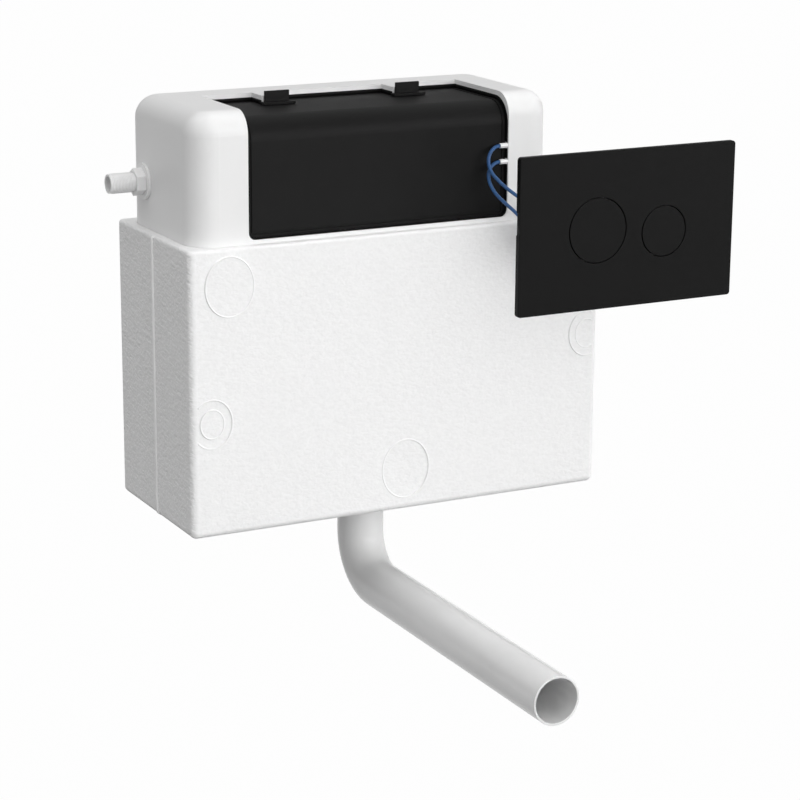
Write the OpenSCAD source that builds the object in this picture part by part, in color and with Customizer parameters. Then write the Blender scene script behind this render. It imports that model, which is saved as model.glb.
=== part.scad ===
// Concealed toilet cistern with an insulating jacket, a wrap-over access cover, a dual flush
// valve worked by air, a side inlet valve, a flush pipe and a two-button flush plate.
// Millimetres. The origin is midway between the two wall fixing holes, on the wall face.
// X runs to the right as seen from the room, Y runs into the wall and Z runs up.

/* [Jacket] */
// Width of the foam jacket
jacket_w = 406; // [390:1:430]
// Depth of the jacket, from the wall to its front
jacket_d = 165; // [160:1:185]
// Height of the jacket
jacket_h = 255; // [246:1:258]
// Thickness of the jacket walls
jacket_wall = 8; // [6:0.5:10]
// Thickness of the jacket floor
jacket_floor = 14; // [10:1:20]
// Foam left over the shoulder of the tank
shoulder_foam = 9; // [6:1:14]
// Radius of the jacket's upright corners
jacket_corner_r = 6; // [6:0.5:12]
// Radius of the jacket's top rim
jacket_rim_r = 3; // [2:0.5:6]
// Radius of the jacket's bottom edges
jacket_foot_r = 6; // [3:0.5:6]
// Distance of the seam between the jacket halves from the wall
seam_y = 84; // [66:1:90]
// Depth of the tongue that joins the halves
seam_tongue = 4; // [2:0.5:6]
// Height of the mould marks on the front
mark_h = 0.8; // [0.4:0.1:1.2]

/* [Tank] */
// Wall thickness of the tank
tank_wall = 3; // [2.5:0.1:3.5]
// Gap between the tank and the jacket
tank_gap = 0.4; // [0.2:0.1:0.8]
// Height of the top of the tank above the jacket's rim
tank_rise = 114; // [107:1:120]
// Width of the tank above the jacket
upper_w = 350; // [344:1:358]
// Radius of the upper tank's upright corners
tank_corner_r = 24; // [21:1:28]
// Radius of the tank's top edges
tank_edge_r = 20; // [14:1:22]
// Outer diameter of the pocket round the outlet
pocket_d = 104; // [100:1:112]
// Height of the top of the outlet pocket above the foot of the jacket
pocket_top = 65; // [62:1:70]

/* [Wall fixing] */
// Height of the fixing holes above the jacket's rim
fixing_rise = 57; // [50:1:65]
// Distance between the fixing holes
fixing_spacing = 240; // [220:5:250]
// Diameter of the fixing holes
fixing_hole_d = 9; // [7:0.5:11]
// Diameter of the bosses round the fixing holes
fixing_boss_d = 28; // [22:1:32]

/* [Access cover] */
// Width of the access cover
cover_w = 252; // [246:0.2:258]
// Distance of the middle of the cover from the outlet, to the left
cover_shift = 16.9; // [14:0.1:18]
// Height of the cover's bottom edge above the top of the jacket
cover_lift = 4; // [4:0.5:9]
// Distance of the cover's rear edge from the wall
cover_rear = 56; // [54:1:66]
// Depth of the front of the cover below the front of the tank
cover_recess = 5; // [4.6:0.1:5.4]
// Depth of the top of the cover below the top of the tank
cover_drop = 7.5; // [5:0.5:9]
// Thickness of the cover
cover_t = 2.5; // [2.2:0.1:3]
// Width of the raised rim round the cover
rim_w = 3; // [2.5:0.5:4]
// Width of the groove inside the rim
groove_w = 1.5; // [1:0.5:3]
// Depth of that groove
groove_depth = 1; // [0.6:0.1:1.2]
// Radius of the cover's bottom corners
cover_corner_r = 6; // [4:0.5:8]
// Clearance between the cover and the tank
cover_gap = 0.6; // [0.4:0.1:1]
// Width of the ledge that carries the cover
ledge_w = 8; // [7:0.5:9]
// Thickness of the seal under the cover
gasket_t = 1.5; // [1:0.1:2]

/* [Latches] */
// Distance between the two latches
latch_spacing = 129; // [120:1:140]
// Width of a latch's thumb tab
latch_w = 23.5; // [20:0.5:26]
// Height of the thumb tab above the cover
latch_h = 12; // [8:0.5:14]
// Thickness of the thumb tab
latch_t = 2.4; // [2:0.1:2.6]
// Depth of the notch in the cover's rear edge
notch_depth = 26; // [24:1:28]
// Diameter of the latch pivots
latch_pin_d = 2.4; // [2:0.1:2.8]

/* [Outlet] */
// Distance of the outlet from the wall
outlet_y = 83; // [81:0.5:85]
// Outer diameter of the flush pipe
pipe_d = 43; // [40:0.5:44]
// Wall thickness of the flush pipe
pipe_wall = 2; // [1.6:0.1:2.6]
// Radius of the flush pipe's bend
bend_r = 43; // [40:1:50]
// Height of the horizontal run's middle below the foot of the jacket
pipe_drop = 84; // [80:0.5:95]
// Distance of the pipe's open end from the wall
pipe_reach = 443; // [400:1:450]
// Outer diameter of the valve's threaded shank
shank_d = 60; // [58:0.5:62]
// Inner diameter of the valve seat
seat_d = 50; // [46:0.5:52]

/* [Flush valve] */
// Outer diameter of the valve tower
tower_d = 78; // [76:0.5:82]
// Height of the tower's top above the foot of the jacket
tower_top = 196; // [192:1:200]
// Outer diameter of the overflow tube
overflow_d = 30; // [28:0.5:32]
// Height of the overflow tube's mouth above the foot of the jacket
overflow_top = 256; // [254:1:262]
// Diameter of the floats
float_d = 60; // [56:1:62]
// Bore of the air cylinders
cylinder_bore = 20; // [18:0.5:21]
// Lift of the pistons
piston_lift = 12; // [10:0.5:14]

/* [Inlet] */
// Height of the inlet above the jacket's rim
inlet_rise = 41; // [35:1:45]
// Distance of the inlet from the wall
inlet_y = 47; // [44:1:52]
// Outer diameter of the inlet tail
tail_d = 16.9; // [15.5:0.1:17.5]
// Bore of the inlet tail
tail_bore = 13.5; // [9:0.5:14]
// Length of the tail outside the tank
tail_len = 34; // [28:1:40]
// Diameter of the collar outside the tank
collar_d = 32.5; // [28:0.5:36]
// Distance across the flats of the inlet nut
inlet_nut_af = 21.5; // [20:0.5:24]
// Distance of the inlet valve's guide column from the tank wall
column_x = 34; // [33:1:38]
// Diameter of the inlet valve's float
fill_float_d = 44; // [40:1:46]
// Travel of the inlet valve's float
fill_travel = 15; // [12:0.5:16]
// Length of the float lever
lever_len = 38; // [36:0.5:40]

/* [Flush plate] */
// Width of the flush plate
plate_w = 222; // [212:1:230]
// Height of the flush plate
plate_h = 141; // [136:1:150]
// Thickness of the flush plate
plate_t = 6; // [5:0.5:8]
// Distance of the plate's front from the wall
plate_y = 240; // [236:1:250]
// Distance of the plate's middle from the outlet, to the right
plate_x = 185.2; // [182:0.2:192]
// Height of the plate's middle above the foot of the jacket
plate_z = 256.2; // [253:0.2:260]
// Thickness of the plate's front and rim
plate_wall = 2.5; // [2:0.1:3]
// Diameter of the full flush button
full_d = 57.4; // [52:0.2:58]
// Diameter of the half flush button
half_d = 45; // [40:0.2:46]
// Distance between the middles of the buttons
button_spacing = 68.8; // [68:0.2:72]
// Distance of the full flush button from the plate's middle, to the left
full_shift = 31.3; // [29:0.1:33]
// Gap round each button
button_gap = 0.8; // [0.5:0.1:1]
// Travel of the buttons
button_travel = 6; // [4:0.5:6]
// Distance between the plate's fixing studs
stud_spacing = 150; // [148:1:156]
// Height of the studs above the middle of the plate
stud_lift = 38; // [34:1:42]
// Diameter of the studs
stud_d = 5; // [4:0.5:6]
// Length of the studs behind the frame
stud_len = 34; // [30:1:36]

/* [Hoses] */
// Outer diameter of the air hoses
hose_d = 3.2; // [3:0.1:3.4]
// Outer diameter of the hose ferrules
ferrule_d = 4.6; // [4.4:0.1:4.8]
// Height of the upper ferrule above the foot of the jacket
ferrule_z = 322.5; // [320:0.5:324]
// Distance between the two ferrules
ferrule_spacing = 14.4; // [13:0.1:16]
// Length of a ferrule that stands out of the tank
ferrule_out = 7.6; // [6:0.1:9]

/* [Hidden] */
$fn = 64;

// Overlap of cutting shapes, and the working gap between parts
over = 1;
run = 0.3;

// Tank box
front_y = -(jacket_d - jacket_wall - tank_gap);
rear_y = -(jacket_wall + tank_gap);
lower_x = jacket_w / 2 - jacket_wall - tank_gap;
upper_x0 = -lower_x;
upper_x1 = upper_x0 + upper_w;
tank_floor = jacket_floor + tank_gap;
shoulder_z = jacket_h - shoulder_foam - tank_gap;
tank_top = jacket_h + tank_rise;
fixing_height = jacket_h + fixing_rise;
inlet_z = jacket_h + inlet_rise;
lower_corner_r = 10;
pocket_roof = pocket_top - tank_wall;
pocket_bore = pocket_d - 2 * tank_wall;

// Cover
cover_x0 = -cover_shift - cover_w / 2;
cover_x1 = cover_x0 + cover_w;
cover_front = front_y + cover_recess;
cover_top = tank_top - cover_drop;
cover_bottom = jacket_h + cover_lift;
cover_bend_r = tank_edge_r;
ledge_depth = cover_t + gasket_t + run;
liner = 2.6;
lug_w = 20;
lug_spacing = 160;
notch_w = latch_w + 3.5;
latch_y = -(cover_rear + notch_depth - latch_t / 2 - 0.6);
latch_pivot_z = cover_top - cover_t - 1.5;
latch_leg = 9;
latch_lip_w = latch_w + 8;
latch_hub_d = 4;
latch_mid = -cover_shift - 0.5;

// Outlet stack, from the pocket roof
pipe_insert = 44;
shank_end = 22;
nut_gap = 0.15;
// A shank is drawn at its thread's mean size under a nut, and at full size past it
thread_h = 0.2;
thread_relief = 0.5;
washer_t = 2;
base_t = 4;
base_z = pocket_top + washer_t;
seat_z = base_z + base_t + 6;
base_d = 86;
collar_h = 17;
seal_t = 3;
seal_z = seat_z + 0.2;
retainer_z = seal_z + seal_t;
retainer_t = 6;
tower_z = base_z + collar_h;
tower_bore = tower_d - 8;
plate_thick = 6;
window_w = 36;
tube_wall = 2;
full_float_z = 102;
half_float_z = 150;
full_float_h = half_float_z - full_float_z - piston_lift - 2;
half_float_h = tower_top - plate_thick - half_float_z - piston_lift - 2;

// Air cylinders
cylinder_x = overflow_d / 2 + cylinder_bore / 2 + 5;
cylinder_h = 44;
cylinder_wall = 2.5;
piston_t = 6;
piston_z = tower_top + 8.5;
rod_d = 6;
yoke_t = 4;
collar_z = overflow_top - 8;
yoke_z = collar_z - yoke_t - run;
hang_d = 4;
barb_z = tower_top + 7;
barb_len = 8;
barb_d = 3.2;

// Inlet valve
column_mid = upper_x0 + column_x;
inlet_collar_t = 2.5;
inlet_nut_t = 8.5;
inlet_seal_t = 2;
neck_d = tail_d - 2 * thread_h;
tail_free = tail_len - inlet_collar_t - inlet_nut_t - thread_relief;
body_d = 26;
body_z0 = inlet_z - 18;
body_z1 = inlet_z + 20;
column_d = 14;
seat_tube_d = 12;
column_foot = 140;
fill_float_h = 42;
fill_float_z = body_z0 - 25 - fill_travel - fill_float_h;
cap_h = 8;
lever_z = body_z1 + cap_h + 7;
lever_pin_d = 3;
lever_t = 5;
rod_head_d = 7;
adjust_d = 4;
diaphragm_t = 2;

// Flush plate
rim_y = -(plate_y - plate_t);
full_x = plate_x - full_shift;
half_x = full_x + button_spacing;
full_z = plate_z + 0.6;
half_z = full_z - full_d / 2 + half_d / 2;
hole_edge = button_gap;
collar_wall = 1.8;
frame_gap = 0.3;
frame_wall = 2;
frame_slab = 3;
frame_inset = 4;
frame_y0 = -(plate_y - plate_wall);
frame_y1 = -(plate_y - 16);
case_wall = 2;
case_flange = 2;
case_y0 = frame_y1 - frame_slab - 2.5;
case_y1 = -(plate_y - 38.5);
button_t = 2.5;
skirt_len = plate_y + frame_y1 - frame_slab - button_travel - 0.5;
post_d = 10;
full_case_d = full_d - 5;
half_case_d = half_d - 5;
socket_d = 6;
socket_len = 9;
socket_y = case_y1 - 3.1;
full_socket_z = 14.3;
half_socket_y = case_y1 - 8.5;
bellows_t = 1.2;
bellows_end_gap = 0.3;
bellows_y0 = -(plate_y - 11.5);
bellows_y1 = case_y1 - 2.5 - bellows_end_gap;
stud_nut_af = 8;
stud_nut_t = 4;
stud_neck_d = stud_d - 2 * thread_h;
notch_len = 19.5;
notch_z = plate_z + 12;

// Ferrules sit in the side wall of the cover's recess
recess_x = cover_x1 + cover_gap;
ferrule_y = cover_front - ferrule_d / 2 - run;
duct_x = recess_x + 7.4;
duct_w = 13.4;
duct_bore = 6;
duct_y1 = front_y + 14;

// Routes of the air hoses, in millimetres from the origin, chosen by hand
outer_full_route = [[105, -154.2, 10.5], [102, -154.2, 10.5], [97.1, -155.5, 9.9], [92.8, -157.2, 7.8],
    [89.3, -159, 4.3], [87.2, -160.8, -0.2], [86.9, -163, -5.8], [88.3, -166, -11.4],
    [91.3, -170, -16.4], [94.6, -174.4, -20.8], [98.5, -180, -25.3], [102.9, -186.4, -29.8],
    [107.6, -193, -34.3], [111.7, -199.4, -37.7], [116.4, -202.9, -40.1], [121.6, -204.6, -40.9],
    [126, -204.6, -40.9]];
outer_half_route = [[105, -154.2, -3.9], [102, -154.2, -3.9], [97, -155.5, -4.5], [92.4, -157.4, -6.5],
    [88.8, -159.6, -10.2], [86.9, -162, -15], [86.8, -165, -20.6], [88.9, -168.6, -26.9],
    [92.2, -172.8, -32.5], [96.5, -178.4, -37.9], [101.2, -184.4, -43.6], [106, -190.4, -50.4],
    [111.3, -195.6, -58.5], [117.9, -199.6, -67.5], [126, -202.8, -77], [136.1, -205.4, -85.6],
    [148.2, -207.4, -92.9], [161.4, -208.8, -99], [175, -209.6, -103.8], [187.6, -210, -106.9],
    [199.1, -210, -108], [208.8, -210, -106.2], [216.3, -210, -101.8], [220.9, -210, -95.9],
    [222.7, -210, -89.9], [222.7, -210, -84.5]];
inner_full_route = [[117, -151.5, 10.5], [117, -147, 10.5], [117, -141, 10.5], [116, -134.4, 8.3],
    [112.4, -128.6, 2.3], [105.7, -124.6, -7.6], [96.1, -122.4, -21], [84.6, -121.6, -36.7],
    [72.2, -121.5, -53.2], [59.7, -121.5, -69.4], [48.8, -121.6, -83.9], [38, -121.6, -97.8],
    [34.9, -120.5, -102.1], [32.4, -117.5, -105.7], [30.6, -113, -108.1], [30, -107.6, -109],
    [30, -103.6, -109]];
inner_half_route = [[117, -151.5, -3.9], [117, -147, -3.9], [117, -142, -3.9], [115.9, -135.5, -6.8],
    [112.4, -131, -13.3], [104.6, -128.4, -23.6], [92.9, -127.4, -37.6], [78.4, -127, -52.7],
    [61.8, -127, -66.7], [43.3, -127, -79.4], [23.8, -126.4, -89.8], [4.2, -124.6, -97.9],
    [-17.1, -121.6, -104.2], [-22, -120.5, -106], [-26.2, -117.5, -107.6], [-29, -113, -108.7],
    [-30, -107.6, -109], [-30, -103.6, -109]];

// Lifts what is measured from the foot of the jacket into place
module on_foot() {
    translate([0, 0, -fixing_height]) children();
}

// Waste outside a rounded corner, in the quarter that points along +X and +Y
module corner_waste(r) {
    difference() {
        translate([-over, -over]) square(r + over);
        translate([r, r]) circle(r);
    }
}

// Rectangle with its own radius at each corner: low-left, low-right, top-right, top-left
module round_rect(x0, y0, x1, y1, r) {
    difference() {
        translate([x0, y0]) square([x1 - x0, y1 - y0]);
        if (r[0] > 0) translate([x0, y0]) corner_waste(r[0]);
        if (r[1] > 0) translate([x1, y0]) mirror([1, 0]) corner_waste(r[1]);
        if (r[2] > 0) translate([x1, y1]) mirror([1, 0]) mirror([0, 1]) corner_waste(r[2]);
        if (r[3] > 0) translate([x0, y1]) mirror([0, 1]) corner_waste(r[3]);
    }
}

// Extrudes a drawing of Y and Z along X, from x0 to x1
module along_x(x0, x1) {
    translate([x0, 0, 0]) rotate([90, 0, 90]) linear_extrude(x1 - x0) children();
}

// Extrudes a drawing of X and Z along Y, from y0 to y1
module along_y(y0, y1) {
    translate([0, y1, 0]) rotate([90, 0, 0]) linear_extrude(y1 - y0) children();
}

// Block with rounded upright corners that roll over into its rounded top and foot edges
module soft_block(lo, hi, corner_r, top_r, foot_r) {
    along_x(lo[0] + corner_r, hi[0] - corner_r)
        round_rect(lo[1], lo[2], hi[1], hi[2], [foot_r, foot_r, top_r, top_r]);
    along_y(lo[1] + corner_r, hi[1] - corner_r)
        round_rect(lo[0], lo[2], hi[0], hi[2], [foot_r, foot_r, top_r, top_r]);
    for (spot = [[hi[0] - corner_r, hi[1] - corner_r, 0], [lo[0] + corner_r, hi[1] - corner_r, 90],
        [lo[0] + corner_r, lo[1] + corner_r, 180], [hi[0] - corner_r, lo[1] + corner_r, 270]])
        translate([spot[0], spot[1], 0]) rotate([0, 0, spot[2]]) rotate_extrude(angle = 90)
            round_rect(0, lo[2], corner_r, hi[2], [0, foot_r, top_r, 0]);
}

module ring(h, d_out, d_in) {
    difference() {
        cylinder(h = h, d = d_out);
        translate([0, 0, -over]) cylinder(h = h + 2 * over, d = d_in);
    }
}

// Ring whose axis runs along Y, starting at y = 0 and growing towards the wall
module ring_y(h, d_out, d_in) {
    rotate([-90, 0, 0]) ring(h, d_out, d_in);
}

// Ring whose axis runs along X, growing to the right
module ring_x(h, d_out, d_in) {
    rotate([0, 90, 0]) ring(h, d_out, d_in);
}

module disc_y(h, d) {
    rotate([-90, 0, 0]) cylinder(h = h, d = d);
}

module hex_ring(h, flats, bore) {
    difference() {
        cylinder(h = h, d = flats / cos(30), $fn = 6);
        translate([0, 0, -over]) cylinder(h = h + 2 * over, d = bore);
    }
}

// Tank, drawn smaller by inset for its inside
module tank_block(inset) {
    soft_block([-lower_x + inset, front_y + inset, tank_floor + inset],
        [lower_x - inset, rear_y - inset, shoulder_z - inset],
        lower_corner_r - inset, 0, 0);
    soft_block([upper_x0 + inset, front_y + inset, tank_floor + inset],
        [upper_x1 - inset, rear_y - inset, tank_top - inset], tank_corner_r - inset,
        tank_edge_r - inset, 0);
}

// Outline of the cover seen from the side, between two depths below its face
module cover_profile(inset, d0, d1) {
    difference() {
        round_rect(cover_front + d0, cover_bottom + inset, -cover_rear - inset, cover_top - d0,
            [0, 0, 0, cover_bend_r - d0]);
        round_rect(cover_front + d1, cover_bottom + inset - over, -cover_rear - inset + over,
            cover_top - d1, [0, 0, 0, cover_bend_r - d1]);
    }
}

// Layer of the cover between two depths, with its edge moved in by inset
module cover_layer(inset, d0, d1) {
    corner = max(0.5, cover_corner_r - inset);
    difference() {
        along_x(cover_x0 + inset, cover_x1 - inset) cover_profile(inset, d0, d1);
        for (side = [0, 1])
            translate([side == 0 ? cover_x0 + inset : cover_x1 - inset, 0, cover_bottom + inset])
                mirror([side, 0, 0]) along_y(cover_front + d0 - over, cover_front + d1 + over)
                    corner_waste(corner);
    }
}

module at_latches() {
    for (side = [-1, 1]) translate([latch_mid + side * latch_spacing / 2, 0, 0]) children();
}

module at_ferrules() {
    for (i = [0, 1]) translate([0, ferrule_y, ferrule_z - i * ferrule_spacing]) children();
}

module notch_block(gap, z0, z1) {
    translate([-notch_w / 2 + gap, -(cover_rear + notch_depth) + gap, z0])
        cube([notch_w - 2 * gap, notch_depth + over - gap, z1 - z0]);
}

module tank() color("#E9EBEB") on_foot() {
    tongue_front = latch_y + latch_t / 2 + 1.6;
    difference() {
        union() {
            difference() {
                tank_block(0);
                tank_block(tank_wall);
            }
            intersection() {
                tank_block(0);
                cover_layer(-cover_gap - liner, -tank_edge_r, ledge_depth + liner);
            }
            translate([0, -outlet_y, tank_floor])
                cylinder(h = pocket_top - tank_floor, d = pocket_d);
            for (side = [-1, 1]) translate([side * fixing_spacing / 2, rear_y - tank_wall, fixing_height])
                disc_y(-rear_y + tank_wall, fixing_boss_d);
            translate([recess_x, front_y, ferrule_z - ferrule_spacing - 7])
                cube([duct_w, duct_y1 - front_y, ferrule_spacing + 14]);
        }
        cover_layer(-cover_gap, -tank_edge_r - over, ledge_depth);
        cover_layer(ledge_w, 0, ledge_depth + liner + 30);
        translate([0, -outlet_y, tank_floor - over])
            cylinder(h = pocket_roof - tank_floor + over, d = pocket_bore);
        translate([0, -outlet_y, pocket_roof - over])
            cylinder(h = tank_wall + 2 * over, d = shank_d + 1);
        for (side = [-1, 1])
            translate([side * fixing_spacing / 2, rear_y - tank_wall - over, fixing_height])
                disc_y(-rear_y + tank_wall + 2 * over, fixing_hole_d);
        translate([upper_x0 - over, -inlet_y, inlet_z])
            rotate([0, 90, 0]) cylinder(h = tank_wall + 2 * over, d = tail_d + 0.6);
        at_ferrules() translate([recess_x - over, 0, 0])
            rotate([0, 90, 0]) cylinder(h = duct_x + 3 - recess_x, d = ferrule_d + 0.2);
        at_ferrules() translate([duct_x, 0, 0]) disc_y(duct_y1 - ferrule_y + over, duct_bore);
    }
    // White tongues that the latches bear on
    at_latches() intersection() {
        translate([-notch_w / 2 + cover_gap, tongue_front, cover_top - ledge_depth])
            cube([notch_w - 2 * cover_gap, -cover_rear + cover_gap + 1 - tongue_front,
                tank_top - cover_top + ledge_depth]);
        translate([-notch_w, front_y, tank_floor]) cube([2 * notch_w, jacket_d, tank_top]);
    }
}

// Whole jacket, before it is parted at the seam
module jacket_block() {
    difference() {
        soft_block([-jacket_w / 2, -jacket_d, 0], [jacket_w / 2, 0, jacket_h], jacket_corner_r,
            jacket_rim_r, jacket_foot_r);
        soft_block([-lower_x - tank_gap, front_y - tank_gap, jacket_floor],
            [lower_x + tank_gap, rear_y + tank_gap, shoulder_z + tank_gap],
            lower_corner_r + tank_gap, 0, 0);
        translate([0, 0, jacket_floor]) linear_extrude(jacket_h)
            round_rect(upper_x0 - tank_gap, front_y - tank_gap, upper_x1 + tank_gap,
                rear_y + tank_gap, [for (i = [0:3]) tank_corner_r + tank_gap]);
        translate([0, -outlet_y, -over]) cylinder(h = jacket_floor + 2 * over, d = pocket_bore);
    }
}

// Everything in front of the seam, with the tongue's half thickness kept inside the wall
module seam_side(shift) {
    half = jacket_wall / 2;
    translate([-jacket_w / 2 - over, -jacket_d - 2, -over])
        cube([jacket_w + 2 * over, jacket_d + 2 - seam_y - shift, jacket_h + 2 * over]);
    translate([-jacket_w / 2 + half, -seam_y - over - shift, half])
        cube([jacket_w - jacket_wall, seam_tongue + over, jacket_h + over]);
}

// Mould marks: x, height above the foot, height of the mark, and 1 where it is raised
marks = [[-165.7, 221.8, 52.5, 1], [4.6, 38.6, 52.5, -1]];
ring_marks = [[-183, 102.2, 42, -1], [190.5, 144.5, 42, 1]];
ring_mark_inner = 27;
// Width of a mark for its height
mark_oval = 0.86;
mark_edge = jacket_w / 2 - jacket_corner_r;

module mark_disc(m, height, deep) {
    translate([m[0], -jacket_d - deep, m[1]]) scale([mark_oval, 1, 1]) disc_y(2 * deep, height);
}

// All raised or all sunk marks, ended where the jacket's corners begin
module mark_shapes(raised) {
    intersection() {
        union() {
            for (m = marks) if (m[3] == raised) mark_disc(m, m[2], mark_h);
            for (m = ring_marks) if (m[3] == raised) difference() {
                mark_disc(m, m[2], mark_h);
                mark_disc(m, ring_mark_inner, mark_h + over);
            }
        }
        translate([-mark_edge, -jacket_d - mark_h - over, 0])
            cube([2 * mark_edge, 2 * mark_h + 2 * over, jacket_h]);
    }
}

module front_jacket() color("#EEEFEF") on_foot() {
    difference() {
        union() {
            intersection() {
                jacket_block();
                seam_side(0);
            }
            mark_shapes(1);
        }
        mark_shapes(-1);
    }
}

module rear_jacket() color("#E4E6E6") on_foot() {
    difference() {
        jacket_block();
        seam_side(-0.2);
    }
}

module access_cover() color("#242424") on_foot() {
    ear_w = 4;
    ear_d = latch_pin_d + 4;
    difference() {
        union() {
            difference() {
                cover_layer(0, 0, cover_t);
                cover_layer(rim_w, -over, groove_depth);
            }
            cover_layer(rim_w + groove_w, 0, cover_t - 0.1);
            // Lugs that tuck behind the ledge at the foot of the opening
            for (side = [-1, 1]) translate([-cover_shift + side * lug_spacing / 2 - lug_w / 2, 0, 0]) {
                translate([0, cover_front + 1.5, cover_bottom + ledge_w + 2])
                    cube([lug_w, ledge_depth + liner + 1.5, 4]);
                translate([0, cover_front + ledge_depth + liner + 0.4, cover_bottom + 2])
                    cube([lug_w, 2.6, ledge_w + 4]);
            }
            at_latches() for (side = [-1, 1])
                translate([side * (notch_w / 2 + ear_w / 2) - ear_w / 2, latch_y, latch_pivot_z])
                    rotate([0, 90, 0]) cylinder(h = ear_w, d = ear_d);
            at_latches() for (side = [-1, 1])
                translate([side * (notch_w / 2 + ear_w / 2) - ear_w / 2, latch_y - ear_d / 2, latch_pivot_z])
                    cube([ear_w, ear_d, cover_top - cover_t / 2 - latch_pivot_z]);
        }
        at_latches() notch_block(0, latch_pivot_z - 10, cover_top + over);
        at_latches() translate([-notch_w / 2 - ear_w - over, latch_y, latch_pivot_z])
            rotate([0, 90, 0]) cylinder(h = notch_w + 2 * ear_w + 2 * over, d = latch_pin_d + 0.1);
    }
}

// The seal follows the cover's edge, and runs round the notches on the inside
module cover_gasket() color("#3A3A3A") on_foot() difference() {
    cover_layer(1, cover_t, cover_t + gasket_t);
    difference() {
        cover_layer(ledge_w - 1, cover_t - over, cover_t + gasket_t + over);
        at_latches() notch_block(-11, latch_pivot_z - 10, cover_top + over);
    }
    at_latches() notch_block(-5, latch_pivot_z - 10, cover_top + over);
}

module latch() {
    translate([-latch_w / 2, latch_y - latch_t / 2, latch_pivot_z - latch_leg])
        cube([latch_w, latch_t, latch_leg + cover_top - latch_pivot_z + latch_h]);
    translate([-latch_lip_w / 2, latch_y - latch_t / 2 - 5, cover_top + run])
        cube([latch_lip_w, 5 + latch_t, 2.4]);
    translate([-notch_w / 2 - 3.5, latch_y, latch_pivot_z])
        rotate([0, 90, 0]) cylinder(h = notch_w + 7, d = latch_pin_d);
    translate([-latch_w / 2, latch_y, latch_pivot_z])
        rotate([0, 90, 0]) cylinder(h = latch_w, d = latch_hub_d);
}

module left_latch() color("#1E1E1E") on_foot()
    translate([latch_mid - latch_spacing / 2, 0, 0]) latch();

module right_latch() color("#1E1E1E") on_foot()
    translate([latch_mid + latch_spacing / 2, 0, 0]) latch();

module at_outlet(z) {
    on_foot() translate([0, -outlet_y, z]) children();
}

module valve_base() color("#F2F2EE") at_outlet(0) {
    difference() {
        union() {
            translate([0, 0, base_z]) cylinder(h = base_t, d = base_d);
            translate([0, 0, shank_end]) cylinder(h = base_z - shank_end + over, d = shank_d);
            translate([0, 0, base_z]) ring(collar_h, tower_d, tower_bore);
        }
        translate([0, 0, shank_end - over]) cylinder(h = base_z - shank_end + base_t + 2 * over, d = seat_d);
    }
    translate([0, 0, base_z]) ring(seat_z - base_z, seat_d + 6, seat_d);
    // Shoulder that the flush pipe stops against
    translate([0, 0, pipe_insert + nut_gap]) ring(4, seat_d + over, pipe_d - 2 * pipe_wall);
    translate([0, 0, shank_end]) ring(pipe_insert - shank_end, seat_d + over, pipe_d + 0.4);
}

module valve_washer() color("#2B2B2B") at_outlet(pocket_top) ring(washer_t, base_d - 2, shank_d + 0.4);

module valve_backnut() color("#F2F2EE") at_outlet(pocket_roof - 12) difference() {
    union() {
        hex_ring(12, 74, shank_d + 2 * nut_gap);
        translate([0, 0, 9]) ring(3, 88, shank_d + 2 * nut_gap);
    }
}

module valve_tower() color("#F2F2EE") at_outlet(0) {
    height = tower_top - tower_z;
    difference() {
        translate([0, 0, tower_z]) cylinder(h = height, d = tower_d);
        translate([0, 0, tower_z - over]) cylinder(h = height - plate_thick + over, d = tower_bore);
        translate([0, 0, tower_z]) cylinder(h = height + over, d = overflow_d + 2 * run);
        translate([cylinder_x, 0, tower_z]) cylinder(h = height + over, d = hang_d + 2 * run);
        for (turn = [45, 135]) for (row = [[tower_z + 6, 46], [tower_z + 62, 38]])
            rotate([0, 0, turn]) translate([-tower_d / 2 - over, -window_w / 2, row[0]])
                cube([tower_d + 2 * over, window_w, row[1]]);
    }
}

module actuator_housing() color("#D9DCDC") at_outlet(tower_top) {
    outer = cylinder_bore + 2 * cylinder_wall;
    difference() {
        union() {
            for (side = [-1, 1]) translate([side * cylinder_x, 0, 0]) cylinder(h = cylinder_h, d = outer);
            cylinder(h = 8, d = overflow_d + 10);
            translate([-cylinder_x, -outer / 4, 0]) cube([2 * cylinder_x, outer / 2, 8]);
            for (side = [-1, 1]) translate([side * cylinder_x, -outer / 2 - barb_len, barb_z - tower_top])
                disc_y(barb_len + cylinder_wall / 2, barb_d);
        }
        translate([0, 0, -over]) cylinder(h = 8 + 2 * over, d = overflow_d + 2 * run);
        for (side = [-1, 1]) translate([side * cylinder_x, 0, 3]) {
            cylinder(h = cylinder_h - 3 - cylinder_wall, d = cylinder_bore);
            cylinder(h = cylinder_h, d = rod_d + 2 * run);
        }
        translate([cylinder_x, 0, -over]) cylinder(h = 8, d = hang_d + 2 * run);
        for (side = [-1, 1])
            translate([side * cylinder_x, -outer / 2 - barb_len - over, barb_z - tower_top])
                disc_y(barb_len + cylinder_wall + 2 * over, 1.6);
    }
}

module overflow_tube() color("#FAFAF6") at_outlet(0) {
    foot = retainer_z - seal_t - 6;
    translate([0, 0, foot]) ring(overflow_top - foot, overflow_d, overflow_d - 2 * tube_wall);
    translate([0, 0, collar_z]) ring(3, overflow_d + 14, overflow_d - 1);
}

module seal_retainer() color("#D9DCDC") at_outlet(retainer_z) ring(retainer_t, seat_d + 8, overflow_d + 0.2);

module seat_seal() color("#B5442E") at_outlet(seal_z) ring(seal_t, seat_d + 12, overflow_d + 0.2);

module full_float() color("#CFE0EA") at_outlet(full_float_z) ring(full_float_h, float_d, overflow_d + 0.2);

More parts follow.
